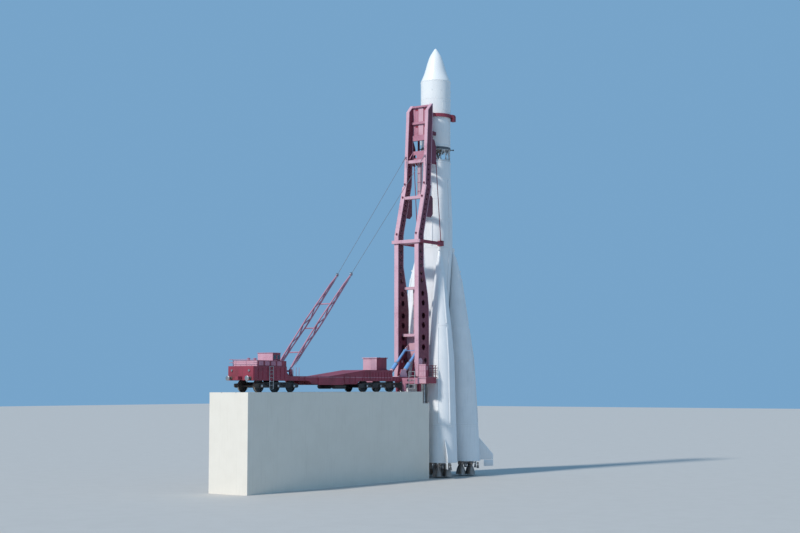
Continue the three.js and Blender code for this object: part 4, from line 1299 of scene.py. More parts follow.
@dataclass
class Boom:
    """The raising boom: two box girders with round holes, cross members, head, collar and clamps."""

    trims: Trims
    inner: float = 0.868
    outer: float = 1.289
    outer_top: float = 1.18
    flange: float = 0.07
    step: float = 18.1
    pivot: tuple[float, float] = (4.3, 2.6)
    back: Rows = ((4.615, 1.3), (4.615, 13.6), (3.33, 18.3), (2.95, 24.3), (2.93, 24.85), (2.3, 25.5))
    front: Rows = (
        (2.19, 25.5), (2.19, 24.5), (2.52, 18.3), (3.7, 14.0), (3.78, 13.6), (3.78, 10.9), (3.16, 8.4),
        (2.99, 7.1), (2.99, 1.3),
    )
    holes: Sequence[Triple] = (
        (2.7, 3.55, 0.20), (3.84, 3.85, 0.26), (4.7, 3.85, 0.26), (5.76, 3.85, 0.26), (6.58, 3.85, 0.26),
        (7.68, 3.88, 0.25), (8.5, 3.95, 0.23), (9.63, 4.06, 0.20), (10.27, 4.15, 0.19), (10.92, 4.20, 0.19),
        (11.57, 4.20, 0.19), (12.15, 4.20, 0.19),
    )
    small: Sequence[float] = tuple(12.75 + 0.45 * k for k in range(17) if k != 12)
    seams: Sequence[float] = (3.3, 5.23, 7.1, 9.1, 11.25, 12.5, 14.33, 16.13, 17.48, 18.83, 20.2, 21.5,
                              22.8, 24.1)
    cradles: Sequence[Rows] = (
        ((2.44, 20.1), (1.65, 20.1), (1.65, 21.7), (1.95, 22.3), (2.33, 22.3)),
        ((3.36, 15.3), (2.5, 15.3), (2.19, 15.6), (2.19, 17.0), (2.35, 17.2), (2.84, 17.2)),
    )
    boss: Rows = (
        (0.0, 0.65), (0.11, 0.65), (0.11, 0.806), (0.30, 0.806), (0.30, 1.284), (0.28, 1.290),
        (0.13, 1.290), (0.12, 1.296), (0.0, 1.296),
    )
    lugs: Rows = ((13.75, 0.12), (17.1, 0.13), (18.3, 0.13))
    lower_pipes: Sequence[float] = (-0.26, -0.225, 0.225, 0.26)
    upper_pipes: Sequence[float] = (-0.15, -0.09, 0.1, 0.15)
    # First and last x, half width and heights of each duct's clamps
    pipe_clamps: Sequence[tuple[float, float, float, Sequence[float]]] = (
        (-3.215, -3.09, 0.29, (3.1, 4.2, 5.3, 6.4, 7.5)), (-2.70, -2.64, 0.205, (17.7, 18.5, 19.3)),
    )
    head_bays: Rows = ((22.78, 23.72), (23.98, 25.22))
    # The cross members take the lighter tone, painted sunlight; collar, saddle and clamp take dark tones,
    # painted shade.
    finishes: Sequence[tuple[str, Finish]] = (
        ("boom_cross_frame", SUNLIT_ROSE), ("boom_middle_beam", SUNLIT_ROSE), ("boom_upper_frame", SUNLIT_ROSE),
        ("boom_head", ROSE), ("fairing_collar", SHADED_CRIMSON), ("stage_saddle", SHADED_MAROON), ("core_clamp", SHADED_CRIMSON),
    )

    def line_at(self, line: Rows, z: float) -> float:
        """Distance s of an outline at a height."""
        for (s0, z0), (s1, z1) in zip(line, line[1:]):
            if (z - z0) * (z - z1) <= 0 and z0 != z1:
                return s0 + (s1 - s0) * (z - z0) / (z1 - z0)
        return line[0][0]

    def moved(self, line: Rows, by: float, closed: bool = False) -> list[tuple[float, float]]:
        """The line moved to its left, which is the inside of the girder's outline.

        Args:
            line: its points.
            by: how far it is moved.
            closed: the last point is joined to the first.

        Returns:
            The moved points.
        """
        pts = [Vector(p) for p in line]
        out = []
        for i, p in enumerate(pts):
            ways = []
            if i or closed:
                ways.append((p - pts[i - 1]).normalized())
            if i + 1 < len(pts) or closed:
                ways.append((pts[(i + 1) % len(pts)] - p).normalized())
            n1, n2 = (Vector((-d.y, d.x)) for d in (ways[0], ways[-1]))
            mid = (n1 + n2).normalized()
            out.append(tuple(p + mid * (by / mid.dot(n1))))
        return out

    def strip(self, line: Rows) -> list[tuple[float, float]]:
        """Outline of a flange along a line."""
        return [*line, *reversed(self.moved(line, self.flange))]

    def build(self) -> None:
        """Makes the boom's pieces."""
        for side, label in zip(BOTH, ("near", "far")):
            self._flanges(side, label)
            self._webs(side, label)
        self._bolts()
        self._services()
        self._rods()
        for node, finish in self.finishes:
            dress(node, finish)

    def _plate(
        self, shape: Shape, side: int, outline: Rows, y0: float, y1: float, holes: Sequence[Rows] = ()
    ) -> None:
        """Adds a plate at distances y0 to y1 from the middle, on one side of it."""
        shape.slab(outline, side * y0, side * y1, side_plane, holes)

    def _flanges(self, side: int, label: str) -> None:
        """A girder's back and front flanges, foot, hinge boss and the eye plates of its stay."""
        made = Shape()
        for line in ([*self.back, self.front[0]], self.front):
            below = [p for p in line if p[1] < self.step]
            above = [p for p in line if p[1] > self.step]
            split = (self.line_at(line, self.step), self.step)
            if line is self.front:
                lower, upper = [split, *below], [*above, split]
            else:
                lower, upper = [*below, split], [split, *above]
            self._plate(made, side, self.strip(lower), self.inner, self.outer)
            self._plate(made, side, self.strip(upper), self.inner, self.outer_top)
        self._plate(made, side, oblong(3.0, 4.6, 1.302, 1.37), self.inner + 0.005, self.outer - 0.005)
        s = self.line_at(self.back, 20.7)
        eye = [(s - 0.06, 20.61), (3.30, 20.61), (3.35, 20.66), (3.35, 20.74), (3.30, 20.79),
               (s - 0.06, 20.79)]
        for y in (1.03 - 0.0483, 1.03 + 0.0483):
            self._plate(made, side, eye, y - 0.012, y + 0.012)
        made.lathe(self.boss, 48, self._outward(side, *self.pivot))
        # The flanges face the key light and take the lighter tone: painted sunlight.
        show(made, f"girder_{label}", "boom", SUNLIT_ROSE, [f"boom_girder_{label}"], bevel=0.007)

    def _outward(self, side: int, s: float, z: float) -> Matrix:
        """A place in the middle plane whose +Z points out to one side."""
        return Matrix.Translation((-s, 0, z)) @ Matrix.Rotation(-side * math.pi / 2, 4, "X")

    def _webs(self, side: int, label: str) -> None:
        """A girder's side plates, the rims of their holes, their seams, its lugs and its cradle plates."""
        made = Shape()
        self._sheets(made, side)
        for z, s, r in self.holes:
            for y in (self.inner + 0.003, self.outer - 0.03):
                rim = [(r - 0.006, y), (r + 0.022, y), (r + 0.022, y + 0.028), (r - 0.006, y + 0.028)]
                made.lathe(rim, 32, self._outward(side, s, z), closed=True)
        for z in self.seams:
            y = (self.outer if z < self.step else self.outer_top) - 0.014
            s0, s1 = self.line_at(self.front, z) + 0.05, self.line_at(self.back, z) - 0.05
            self._plate(made, side, oblong(s0, s1, z - 0.03, z + 0.03), y, y + 0.010)
        for z, out in self.lugs:
            s = self.line_at(self.back, z)
            self._plate(made, side, oblong(s - 0.03, s + out, z - 0.08, z + 0.08), 0.98, 1.08)
        for outline in self.cradles:
            self._plate(made, side, outline, 1.08, 1.16)
        # The side plates face away from the key light and take the darkest tone: painted shade.
        show(made, f"girder_webs_{label}", "boom", SHADED_MAROON)

    def _sheets(self, made: Shape, side: int) -> None:
        """Adds the inner side plate, the outer ones below and above the step, and the shelf between them."""
        z0, z1 = self.step, self.step - 0.06
        front, back = self.line_at(self.front, z0), self.line_at(self.back, z0)
        lower = [p for p in self.back if p[1] < z0] + [(back, z0),
                                                       (front, z0)] + [p for p in self.front if p[1] < z0]
        upper = [(self.line_at(self.back, z1), z1)] + [p for p in (*self.back, *self.front) if p[1] > z0]
        upper.append((self.line_at(self.front, z1), z1))
        large = [(s, z, r) for z, s, r in self.holes]
        small = [(self.line_at(self.back, z) - 0.40, z, 0.095) for z in self.small]
        for outline, y, holes in (
            ([*self.back, *self.front], self.inner + 0.006, [*large, *small]),
            (lower, self.outer - 0.026, [*large, *(h for h in small if h[1] < z0)]),
            (upper, self.outer_top - 0.026, [h for h in small if h[1] > z0]),
        ):
            loops = [circle(*hole) for hole in holes]
            self._plate(made, side, self.moved(outline, 0.03, True), y, y + 0.018, loops)
        shelf = oblong(front + 0.03, back - 0.03, z0 - 0.045, z0 - 0.003)
        self._plate(made, side, shelf, self.outer_top - 0.06, self.outer - 0.004)

    def _bolts(self) -> None:
        """Rows of bolts along the girders' back and front flanges and round the hinge bosses."""
        spots: list[Spot] = []
        s0, z0 = self.pivot
        for side in BOTH:
            for z in stations(1.6, 24.2, 0.32):
                y = side * ((self.outer if z < self.step else self.outer_top) - 0.05)
                spots.append(((-self.line_at(self.back, z) - 0.006, y, z), (-1.0, 0.0, 0.0)))
                spots.append(((-self.line_at(self.front, z) + 0.006, y, z), (1.0, 0.0, 0.0)))
            for k in range(10):
                s, z, _ = polar(0.21, 2 * math.pi * k / 10)
                spots.append(((s - s0, side * 1.292, z0 + z), (0.0, float(side), 0.0)))
        self.trims.bolts("boom_bolts", "boom", SUNLIT_ROSE, spots, 0.021, 0.014)

    def _services(self) -> None:
        """Pipes and clamps along the ducts, the cover of the core clamp's back bar, the head's trim and its
        painted shade strips.
        """
        pipes, clamps, dark, columns = (Shape() for _ in range(4))
        for y in self.lower_pipes:
            bend = [(-3.38, y * 0.5, 8.3), (-3.38, y * 0.5, 8.95)]
            pipes.tube([(-3.13, y, 2.86), (-3.13, y, 7.7), *bend], 0.022)
        for y in self.upper_pipes:
            pipes.rod((-2.672, y, 17.45), (-2.672, y, 20.19), 0.022, 12)
        show(pipes, "boom_pipes", "boom", GALVANISED)
        # The cover takes the lighter tone: painted sunlight.
        cover = Shape().box((-4.746, -1.486, 12.894), (-4.61, 1.486, 13.186), 0.006)
        show(cover, "clamp_bar_cover", "boom", SUNLIT_ROSE)
        for x0, x1, half, heights in self.pipe_clamps:
            clamps.boxes(((x0, -half, z - 0.03), (x1, half, z + 0.03), 0.006) for z in heights)
        for low, high in self.head_bays:
            # Columns in the lighter tone, painted sunlight; dark strips beside them and under the top of
            # each bay, painted shade.
            columns.box((-2.362, -0.27, low), (-2.325, 0.27, high), 0.008)
            clamps.boxes([((-2.345, 0.608, low), (-2.325, 0.632, high), 0.003)], BOTH)
            recess_shade = ((-2.337, 0.27, low + 0.02), (-2.326, 0.33, high - 0.02), 0.002)
            shadow_gap = ((-2.338, 0.33, high - 0.24), (-2.327, 0.60, high - 0.05), 0.002)
            dark.boxes([recess_shade, shadow_gap], BOTH)
        show(columns, "head_columns", "boom", SUNLIT_ROSE)
        show(clamps, "pipe_clamps", "boom", ROSE)
        dark.slab([(-0.37, 20.19), (0.37, 20.19), (0.25, 19.96), (-0.25, 19.96)], 2.645, 2.685, cross_plane)
        show(dark, "beam_plate_and_head_shade", "boom", SHADED_CRIMSON)

    def _rods(self) -> None:
        """A thin rod on each side from the upper cradle down to the clamp's pad."""
        made = Shape()
        for side in BOTH:
            top, foot = Vector((-1.72, side * 1.18, 20.3)), Vector((-1.08, side * 1.25, 13.28))
            made.rod(top, foot, 0.035)
            for end, way in ((top, (foot - top).normalized()), (foot, (top - foot).normalized())):
                made.rod(end + way * 0.02, end + way * 0.22, 0.05, 6)
        show(made, "cradle_rods", "boom", SHADED_CRIMSON)


def dress(node: str, finish: Finish) -> None:
    """Gives a CAD node that stays visible its finish."""
    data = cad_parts[node].data
    data.materials.clear()
    data.materials.append(finish.material())
    data.shade_smooth()
    data.set_sharp_from_angle(angle=SMOOTH_ANGLE)
    LOG.info("%s: CAD node in %s", node, finish.name)


# Lifting cylinders and stays


@dataclass
class Lift:
    """The two lifting cylinders."""

    base: tuple[float, float] = (6.45, 1.25)
    head: tuple[float, float] = (3.7, 3.75)
    offset: float = 0.675
    barrel: float = 1.84
    tail: float = 2.017
    # First and last y, radius and sides of an eye's pin and its two nuts
    pin_parts: Sequence[tuple[float, float, float, int]] = (
        (-0.11, 0.11, 0.035, 20), (-0.115, -0.095, 0.055, 6), (0.095, 0.115, 0.055, 6),
    )

    def build(self) -> None:
        """Makes barrels and rods, with the hinge shaft under them and the tie across them."""
        low, high = side_plane(*self.base, 0.0), side_plane(*self.head, 0.0)
        along, length = (high - low).normalized(), (high - low).length
        barrels, sleeves, collars, rods, pins = (Shape() for _ in range(5))
        barrels.rod((low.x, -0.96, low.z), (low.x, 0.96, low.z), 0.06, 24)
        for side in BOTH:
            y = side * self.offset
            place = aimed((low.x, y, low.z), along)
            self._barrel(barrels, sleeves, collars, place)
            start = length - self.tail
            shaft = [(0.0, start), (0.115, start), (0.115, length - 0.343), (0.14, length - 0.325),
                     (0.14, length - 0.28), (0.0, length - 0.28)]
            rods.lathe(shaft, 48, place)
            turn = along.to_track_quat("Z", "Y").to_matrix().to_4x4()
            for w in (-0.066, 0.066):
                cheek = Matrix.Translation((low.x, y + w, low.z)) @ turn
                rods.box((-0.075, -0.02, length - 0.33), (0.075, 0.02, length + 0.07), 0.01, cheek)
            for y0, y1, radius, sides in self.pin_parts:
                pins.rod((high.x, y + y0, high.z), (high.x, y + y1, high.z), radius, sides)
        tie = low + along * (length - 0.3)
        rods.rod((tie.x, -self.offset, tie.z), (tie.x, self.offset, tie.z), 0.03, 20)
        # Barrels in the lighter tone: painted sunlight.
        show(barrels, "cylinder_barrels", "lift_barrels", SUNLIT_ROSE, ["lift_barrels"])
        show(sleeves, "cylinder_sleeves", "lift_barrels", BLUE)
        show(collars, "cylinder_collars", "lift_barrels", STEEL)
        show(rods, "cylinder_rods", "lift_rods", BLUE, ["lift_rods"])
        show(pins, "cylinder_pins", "lift_rods", STEEL)

    def _barrel(self, barrels: Shape, sleeves: Shape, collars: Shape, place: Matrix) -> None:
        """Adds one hollow barrel, its painted sleeve, two hoops and the gland at its mouth."""
        end = self.barrel
        tube = [(0.0, -0.15), (0.12, -0.15), (0.155, -0.1), (0.17, -0.06), (0.17, end - 0.12), (0.15, end),
                (0.1156, end), (0.1156, 0.16), (0.0, 0.16)]
        sleeve = [(0.165, 0.93), (0.175, 0.935), (0.175, end - 0.16), (0.165, end - 0.155)]
        gland = [(0.118, end - 0.1), (0.16, end - 0.1), (0.165, end - 0.08), (0.165, end - 0.01),
                 (0.155, end + 0.005), (0.118, end + 0.005)]
        barrels.lathe(tube, 48, place)
        sleeves.lathe(sleeve, 48, place, closed=True)
        for d in (0.87, end - 0.16):
            hoop = [(0.165, d), (0.184, d + 0.008), (0.184, d + 0.05), (0.165, d + 0.058)]
            collars.lathe(hoop, 48, place, closed=True)
        collars.lathe(gland, 48, place, closed=True)


@dataclass
class Stays:
    """The lattice arms on the car and the ropes from their tips to the boom."""

    foot: tuple[float, float] = (21.2, 1.62)
    tip: tuple[float, float] = (13.4, 9.6)
    top: Point = (-3.29, 1.03, 20.7)
    arm: float = 0.72
    lowered_share: float = 0.8278
    # Distances from the top, radius and sides of the rope's end fittings
    fittings: Sequence[tuple[float, float, float, int]] = (
        (0.6, 0.2, 0.03, 16), (0.62, 0.56, 0.042, 6), (0.24, 0.18, 0.042, 6), (0.2, 0.0, 0.018, 12),
    )
    pulley: Rows = (
        (0.03, -0.045), (0.15, -0.045), (0.15, -0.03), (0.12, -0.01), (0.12, 0.01), (0.15, 0.03),
        (0.15, 0.045), (0.03, 0.045),
    )

    def build(self) -> None:
        """Makes the ropes, the pulleys at the arms' tips and the winch rope along each arm."""
        dress("stay_arms", ROSE)
        pulleys, ropes = Shape(), Shape()
        for side, label in zip(BOTH, ("near", "far")):
            low = side_plane(*self.tip, side * self.arm)
            high = Vector((self.top[0], side * self.top[1], self.top[2]))
            self._rope(low, high, label)
            pulleys.lathe(self.pulley, 32, aimed(low, (0.0, 1.0, 0.0)), closed=True)
            foot = side_plane(*self.foot, side * self.arm)
            way = (low - foot).normalized()
            below = Vector((-way.z, 0, way.x)) * -0.31
            ropes.tube([low + below * 0.45, foot + way * 0.9 + below * 0.7], 0.014, 10)
        show(pulleys, "arm_pulleys", "stay_arms", STEEL)
        show(ropes, "winch_ropes", "stay_arms", CABLE)

    def _rope(self, low: Vector, high: Vector, label: str) -> None:
        """Makes one stay from the arm's tip to the top on the boom."""
        way = (high - low).normalized()
        start = low + way * 0.085
        rope = Shape().tube([start, high - way * 0.55], 0.019)
        for near, far, radius, sides in self.fittings:
            rope.rod(high - way * near, high - way * far, radius, sides)
        for middle, reach in ((high, Vector((0.045, 0.034, 0.045))), (start, Vector((0.05, 0.03, 0.05)))):
            rope.box(middle - reach, middle + reach, 0.01)
        piece = show(rope, f"stay_rope_{label}", f"stay_{label}", CABLE, [f"stay_{label}"])
        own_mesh(piece)


# Railway car


@dataclass
class Wheelset:
    """Axle with two turned wheels."""

    number: int
    centre: float
    radius: float = 0.475
    wheel: Rows = (
        (0.07, 0.69), (0.16, 0.69), (0.17, 0.72), (0.38, 0.755), (0.40, 0.72), (0.495, 0.70),
        (0.505, 0.715), (0.497, 0.735), (0.472, 0.745), (0.470, 0.862), (0.40, 0.862), (0.385, 0.80),
        (0.18, 0.80), (0.15, 0.862), (0.07, 0.862),
    )
    tread: Rows = ((0.4715, 0.747), (0.4745, 0.747), (0.4735, 0.858), (0.4705, 0.858))
    half_axle: Rows = ((0.0, -1.05), (0.06, -1.05), (0.06, -0.87), (0.085, -0.86), (0.085, -0.66),
                       (0.075, -0.6))

    def build(self) -> None:
        """Makes the wheels, the axle and the bright treads."""
        place = Matrix.Translation((-self.centre, 0, self.radius)) @ Matrix.Rotation(math.pi / 2, 4, "X")
        made, treads = Shape(), Shape()
        for side in BOTH:
            made.lathe([(r, side * h) for r, h in self.wheel], 64, place, closed=True)
            treads.lathe([(r, side * h) for r, h in self.tread], 64, place, closed=True)
        axle = [*self.half_axle, *((r, -h) for r, h in reversed(self.half_axle))]
        made.lathe(axle, 32, place)
        body = f"wheelset_{self.number}"
        show(made, f"wheels_{self.number}", body, BLACK, [body])
        show(treads, f"treads_{self.number}", body, TREAD)


@dataclass
class Bogie:
    """One bogie's springs, axle boxes and brakes on its CAD frame."""

    number: int
    axles: Sequence[float]
    leaves: int = 7

    def build(self) -> None:
        """Makes the running gear."""
        n = self.number
        dress(f"bogie_frame_{n}", BLACK)
        gear, springs, caps = Shape(), Shape(), Shape()
        cap = [(0.0, 0.0), (0.085, 0.0), (0.085, 0.02), (0.06, 0.035), (0.0, 0.035)]
        for side in BOTH:
            for s in self.axles:
                gear.boxes([((-s - 0.15, 1.055, 0.33), (-s + 0.15, 1.17, 0.62), 0.03)], [side])
                caps.lathe(cap, 24, aimed((-s, side * 1.17, 0.475), (0, side, 0)))
                for shoe in (-s - 0.54, -s + 0.54):
                    block = ((shoe - 0.025, 0.75, 0.36), (shoe + 0.025, 0.86, 0.66), 0.01)
                    holder = ((shoe - 0.04, 0.85, 0.56), (shoe + 0.04, 0.945, 0.64), 0.01)
                    gear.boxes([block, holder], [side])
            for a, b in zip(self.axles, self.axles[1:]):
                springs.boxes(self._spring((a + b) / 2), [side])
        show(gear, f"axle_boxes_{n}", f"bogie_{n}", BLACK)
        show(springs, f"leaf_springs_{n}", f"bogie_{n}", BLACK)
        show(caps, f"axle_caps_{n}", f"bogie_{n}", GALVANISED)

    def _spring(self, s: float) -> list[Block]:
        """The leaves of a spring, each shorter than the one above it, and the buckle round them."""
        rows = []
        for k in range(self.leaves):
            half, drop = 0.52 - 0.06 * k, 0.022 * k
            rows.append(((-s - half, 1.055, 0.62 - drop), (-s + half, 1.15, 0.638 - drop), 0.003))
        return [*rows, ((-s - 0.05, 1.05, 0.47), (-s + 0.05, 1.16, 0.68), 0.008)]


@dataclass
class Car:
    """The railway car: dressed CAD nodes and what is fitted on them."""

    trims: Trims
    half: float = 1.25
    bracket: Rows = ((6.9, 1.255), (6.9, 1.5), (6.7, 1.9), (6.2, 1.9), (5.9, 1.5), (5.9, 1.255))
    # The cabinet, deck box and cabin take the lighter tone, painted sunlight; the frames take a dark tone,
    # painted shade.
    finishes: Sequence[tuple[str, Finish]] = (
        ("car_frame", SHADED_CRIMSON), ("end_frame", SHADED_CRIMSON), ("outrigger_near", ROSE), ("outrigger_far", ROSE),
        ("service_cabinet", SUNLIT_ROSE), ("deck_box", SUNLIT_ROSE), ("rear_cabin", SUNLIT_ROSE),
    )
    # Name, first and last s, middle height, height and pitch of each run of ribs
    rib_runs: Sequence[tuple[str, float, float, float, float, float]] = (
        ("front", 5.2, 8.2, 1.07, 0.30, 0.42), ("box", 8.7, 12.3, 1.30, 0.62, 0.40),
        ("middle", 13.5, 14.9, 0.98, 0.60, 0.6), ("rear", 22.3, 25.8, 1.42, 0.85, 0.5),
    )
    lockers: Sequence[Block] = (
        ((-18.3, 1.245, 0.56), (-15.1, 1.30, 1.12), 0.012),
        ((-15.07, 1.245, 0.64), (-13.4, 1.262, 0.70), 0.004),
    )
    side_posts: Sequence[float] = (12.5, 15.0, 18.4, 19.9, 20.6)
    # Dark panels over the sides of the lighter deck box and cabin: painted shade.
    box_and_cabin_shade_panels: Sequence[Block] = (
        ((-9.87, 0.703, 1.81), (-8.48, 0.717, 2.775), 0.004),
        ((-9.94, 0.778, 2.784), (-8.41, 0.789, 2.846), 0.003),
        ((-25.39, 1.198, 1.96), (-22.09, 1.211, 2.36), 0.004),
        ((-23.14, 0.748, 2.375), (-22.26, 0.757, 2.975), 0.004),
    )
    # Dark panels over the near faces of the cabinet and the platform, which stand in shade: painted shade.
    cabinet_and_platform_shade_panels: Sequence[Block] = (
        ((-4.59, -2.054, 1.26), (-4.26, -2.038, 2.295), 0.004),
        ((-4.62, -2.066, 2.304), (-4.23, -2.058, 2.356), 0.003),
        ((-4.58, -2.052, 0.71), (-3.02, -2.038, 1.165), 0.004),
        ((-4.64, -2.108, 1.175), (-2.96, -2.098, 1.245), 0.003),
    )
    rear_rail: Sequence[Point] = (
        (-25.45, -1.2, 1.95), (-25.85, -1.2, 1.95), (-25.85, 1.2, 1.95), (-25.45, 1.2, 1.95),
    )
    platform_rail: Sequence[Point] = ((-4.2, -2.07, 1.25), (-2.99, -2.07, 1.25), (-2.99, -1.30, 1.25))
    cabinet_leaves: Rows = ((-2.02, -1.69), (-1.67, -1.34))
    cabinet_tiers: Rows = ((1.29, 1.76), (1.80, 2.27))
    bar_heights: Sequence[float] = (1.29, 1.78, 2.27)
    bar_places: Sequence[float] = (-2.02, -1.79, -1.56, -1.34)
    windows: Sequence[float] = (-22.92, -22.48)
    cabin_doors: Sequence[float] = (-25.0, -24.3, -23.6, -22.9)

    def build(self) -> None:
        """Dresses the car's nodes and adds its trim."""
        for node, finish in self.finishes:
            dress(node, finish)
        self._ribs()
        self._sides()
        self._railings()
        self._cabin()
        self._cabinet()
        self._box()
        self._ends()

    def _line(self, grower: Grower, name: str, finish: Finish, *rest: object) -> None:
        """Runs one grower along lines on the car."""
        self.trims.along(grower, name, "car", finish, *rest)

    def _ribs(self) -> None:
        """Ribs on the sides, deck planks and bolts."""
        ribs, y = self.trims.ribs, self.half + 0.012
        for name, s0, s1, z, tall, pitch in self.rib_runs:
            lines = [[(-s0, side * y, z), (-s1, side * y, z)] for side in BOTH]
            self._line(ribs, f"side_ribs_{name}", SHADED_CRIMSON, lines,
                       {"Size": (0.05, 0.03, tall), "Pitch": pitch})
        planks = [[(-17.1, 0.0, 1.226), (-20.8, 0.0, 1.226)]]
        self._line(ribs, "deck_planks", DECKING, planks, {"Size": (0.19, 2.36, 0.012), "Pitch": 0.2})
        spots = []
        for side in BOTH:
            for s in stations(5.1, 25.8, 0.3):
                z = 0.95 if s < 12.8 or s > 19.4 else 0.70
                spots.append(((-s, side * (self.half + 0.004), z), (0.0, float(side), 0.0)))
        self.trims.bolts("car_bolts", "car", SHADED_CRIMSON, spots, 0.02, 0.018)

    def _sides(self) -> None:
        """Lockers, posts, a painted highlight along each side's top, lighter bracket plates and dark panels:
        painted sunlight and shade.
        """
        dark, light = Shape(), Shape()
        posts = [((-s - 0.03, 1.245, 0.92), (-s + 0.03, 1.285, 1.2), 0.006) for s in self.side_posts]
        dark.boxes([*self.lockers, *posts, *self.box_and_cabin_shade_panels], BOTH)
        dark.boxes(self.cabinet_and_platform_shade_panels)
        for side in BOTH:
            # A light line along the top of each side, a painted highlight, and lighter plates on the
            # brackets: painted sunlight.
            light.boxes([((-20.7, 1.245, 1.16), (-8.45, 1.258, 1.185), 0.003)], [side])
            light.slab(self.bracket, side * 0.981, side * 0.993, side_plane)
        show(dark, "side_panels_and_painted_shade", "car", SHADED_CRIMSON)
        show(light, "bracket_plates_painted_sunlit", "car", SUNLIT_ROSE)

    def _railings(self) -> None:
        """Railings of the decks and the service platform, posts and ladders."""
        railing, ladder = self.trims.railing, self.trims.ladder
        rail = {"Height": 0.5, "Pitch": 0.8, "Radius": 0.016}
        self._line(railing, "rear_railing", ROSE, [self.rear_rail], rail)
        for height, radius in ((0.76, 0.021), (1.0, 0.018)):
            rail = {"Height": height, "Pitch": 0.3, "Radius": radius}
            # In the darkest tone: painted shade.
            self._line(railing, f"platform_railing_{int(height * 100)}", SHADED_MAROON, [self.platform_rail], rail)
        posts = Shape()
        for s in (20.5, 20.85, 21.2):
            posts.rod((-s, -1.15, 1.2), (-s, -1.15, 1.9), 0.018, 12)
        show(posts, "deck_posts", "car", ROSE)
        front = [[(-7.085, -2.32, 0.25), (-7.085, -2.32, 1.70)]]
        rear = [[(-23.9, y, 0.25), (-23.9, y, 1.93)] for y in (-1.29, 1.29)]
        self._line(ladder, "front_ladder", GALVANISED, front, {"Width": 0.6, "Pitch": 0.3, "Radius": 0.018},
                   (0.0, 1.0, 0.0))
        self._line(ladder, "rear_ladders", GALVANISED, rear,
                   {"Width": 0.42, "Pitch": 0.28, "Radius": 0.014}, (1.0, 0.0, 0.0))

    def _cabin(self) -> None:
        """Windows, doors, roof edges and vents of the rear cabin."""
        trim, glass = Shape(), Shape()
        trim.box((-23.19, -0.79, 2.955), (-22.21, 0.79, 3.0), 0.01)
        trim.box((-25.43, -1.23, 2.355), (-23.16, 1.23, 2.39), 0.01)
        frames = []
        for x in self.windows:
            for z in (2.48, 2.82):
                frames.append(((x - 0.17, 0.750, z), (x + 0.17, 0.770, z + 0.025), 0.004))
            for w in (x - 0.17, x + 0.145):
                frames.append(((w, 0.750, 2.48), (w + 0.025, 0.770, 2.845), 0.004))
        doors = [((x - 0.25, 1.205, 2.0), (x + 0.25, 1.222, 2.32), 0.006) for x in self.cabin_doors]
        trim.boxes([*frames, *doors], BOTH)
        glass.boxes((((x - 0.14, 0.750, 2.5), (x + 0.14, 0.762, 2.82), 0.004) for x in self.windows), BOTH)
        trim.box((-22.255, -0.3, 2.39), (-22.232, 0.3, 2.9), 0.006)
        vent = [(0.0, 2.38), (0.09, 2.38), (0.09, 2.52), (0.13, 2.52), (0.13, 2.56), (0.0, 2.6)]
        for x in (-24.8, -24.1):
            trim.lathe(vent, 24, Matrix.Translation((x, 0.2, 0)))
        show(trim, "cabin_trim", "car", ROSE)
        show(glass, "cabin_windows", "car", PANE)

    def _cabinet(self) -> None:
        """Doors, louvres, handle and bars of the service cabinet, and the platform's grating."""
        leaves = [
            ((-4.612, y0, z0), (-4.598, y1, z1), 0.005)
            for z0, z1 in self.cabinet_tiers
            for y0, y1 in self.cabinet_leaves
        ]
        slots = [1.86 + 0.05 * k for k in range(7)]
        louvres = [((-4.56, -2.066, z), (-4.30, -2.052, z + 0.025), 0.004) for z in slots]
        handle = ((-4.63, -1.71, 1.45), (-4.61, -1.695, 1.60), 0.004)
        show(Shape().boxes([*leaves, *louvres, handle]), "cabinet_doors", "car", SUNLIT_ROSE)
        across = [((-4.625, -2.03, z - 0.018), (-4.598, -1.33, z + 0.018), 0.004) for z in self.bar_heights]
        upright = [((-4.625, y - 0.014, 1.29), (-4.598, y + 0.014, 2.27), 0.004) for y in self.bar_places]
        show(Shape().boxes([*across, *upright]), "cabinet_bars", "car", ROSE)
        grating = [[(-3.0, -1.68, 1.256), (-4.2, -1.68, 1.256)]]
        self._line(self.trims.ribs, "platform_grating", GALVANISED, grating,
                   {"Size": (0.012, 0.76, 0.02), "Pitch": 0.04})

    def _box(self) -> None:
        """Lid hinges and door leaves of the deck box."""
        hinges = [((x - 0.05, 0.785, 2.76), (x + 0.05, 0.80, 2.87), 0.006) for x in (-9.6, -8.75)]
        leaves = [((x0, 0.715, 1.90), (x1, 0.727, 2.70), 0.006) for x0,
                  x1 in ((-9.82, -9.22), (-9.12, -8.54))]
        show(Shape().boxes([*hinges, *leaves], BOTH), "deck_box_trim", "car", SHADED_CRIMSON)

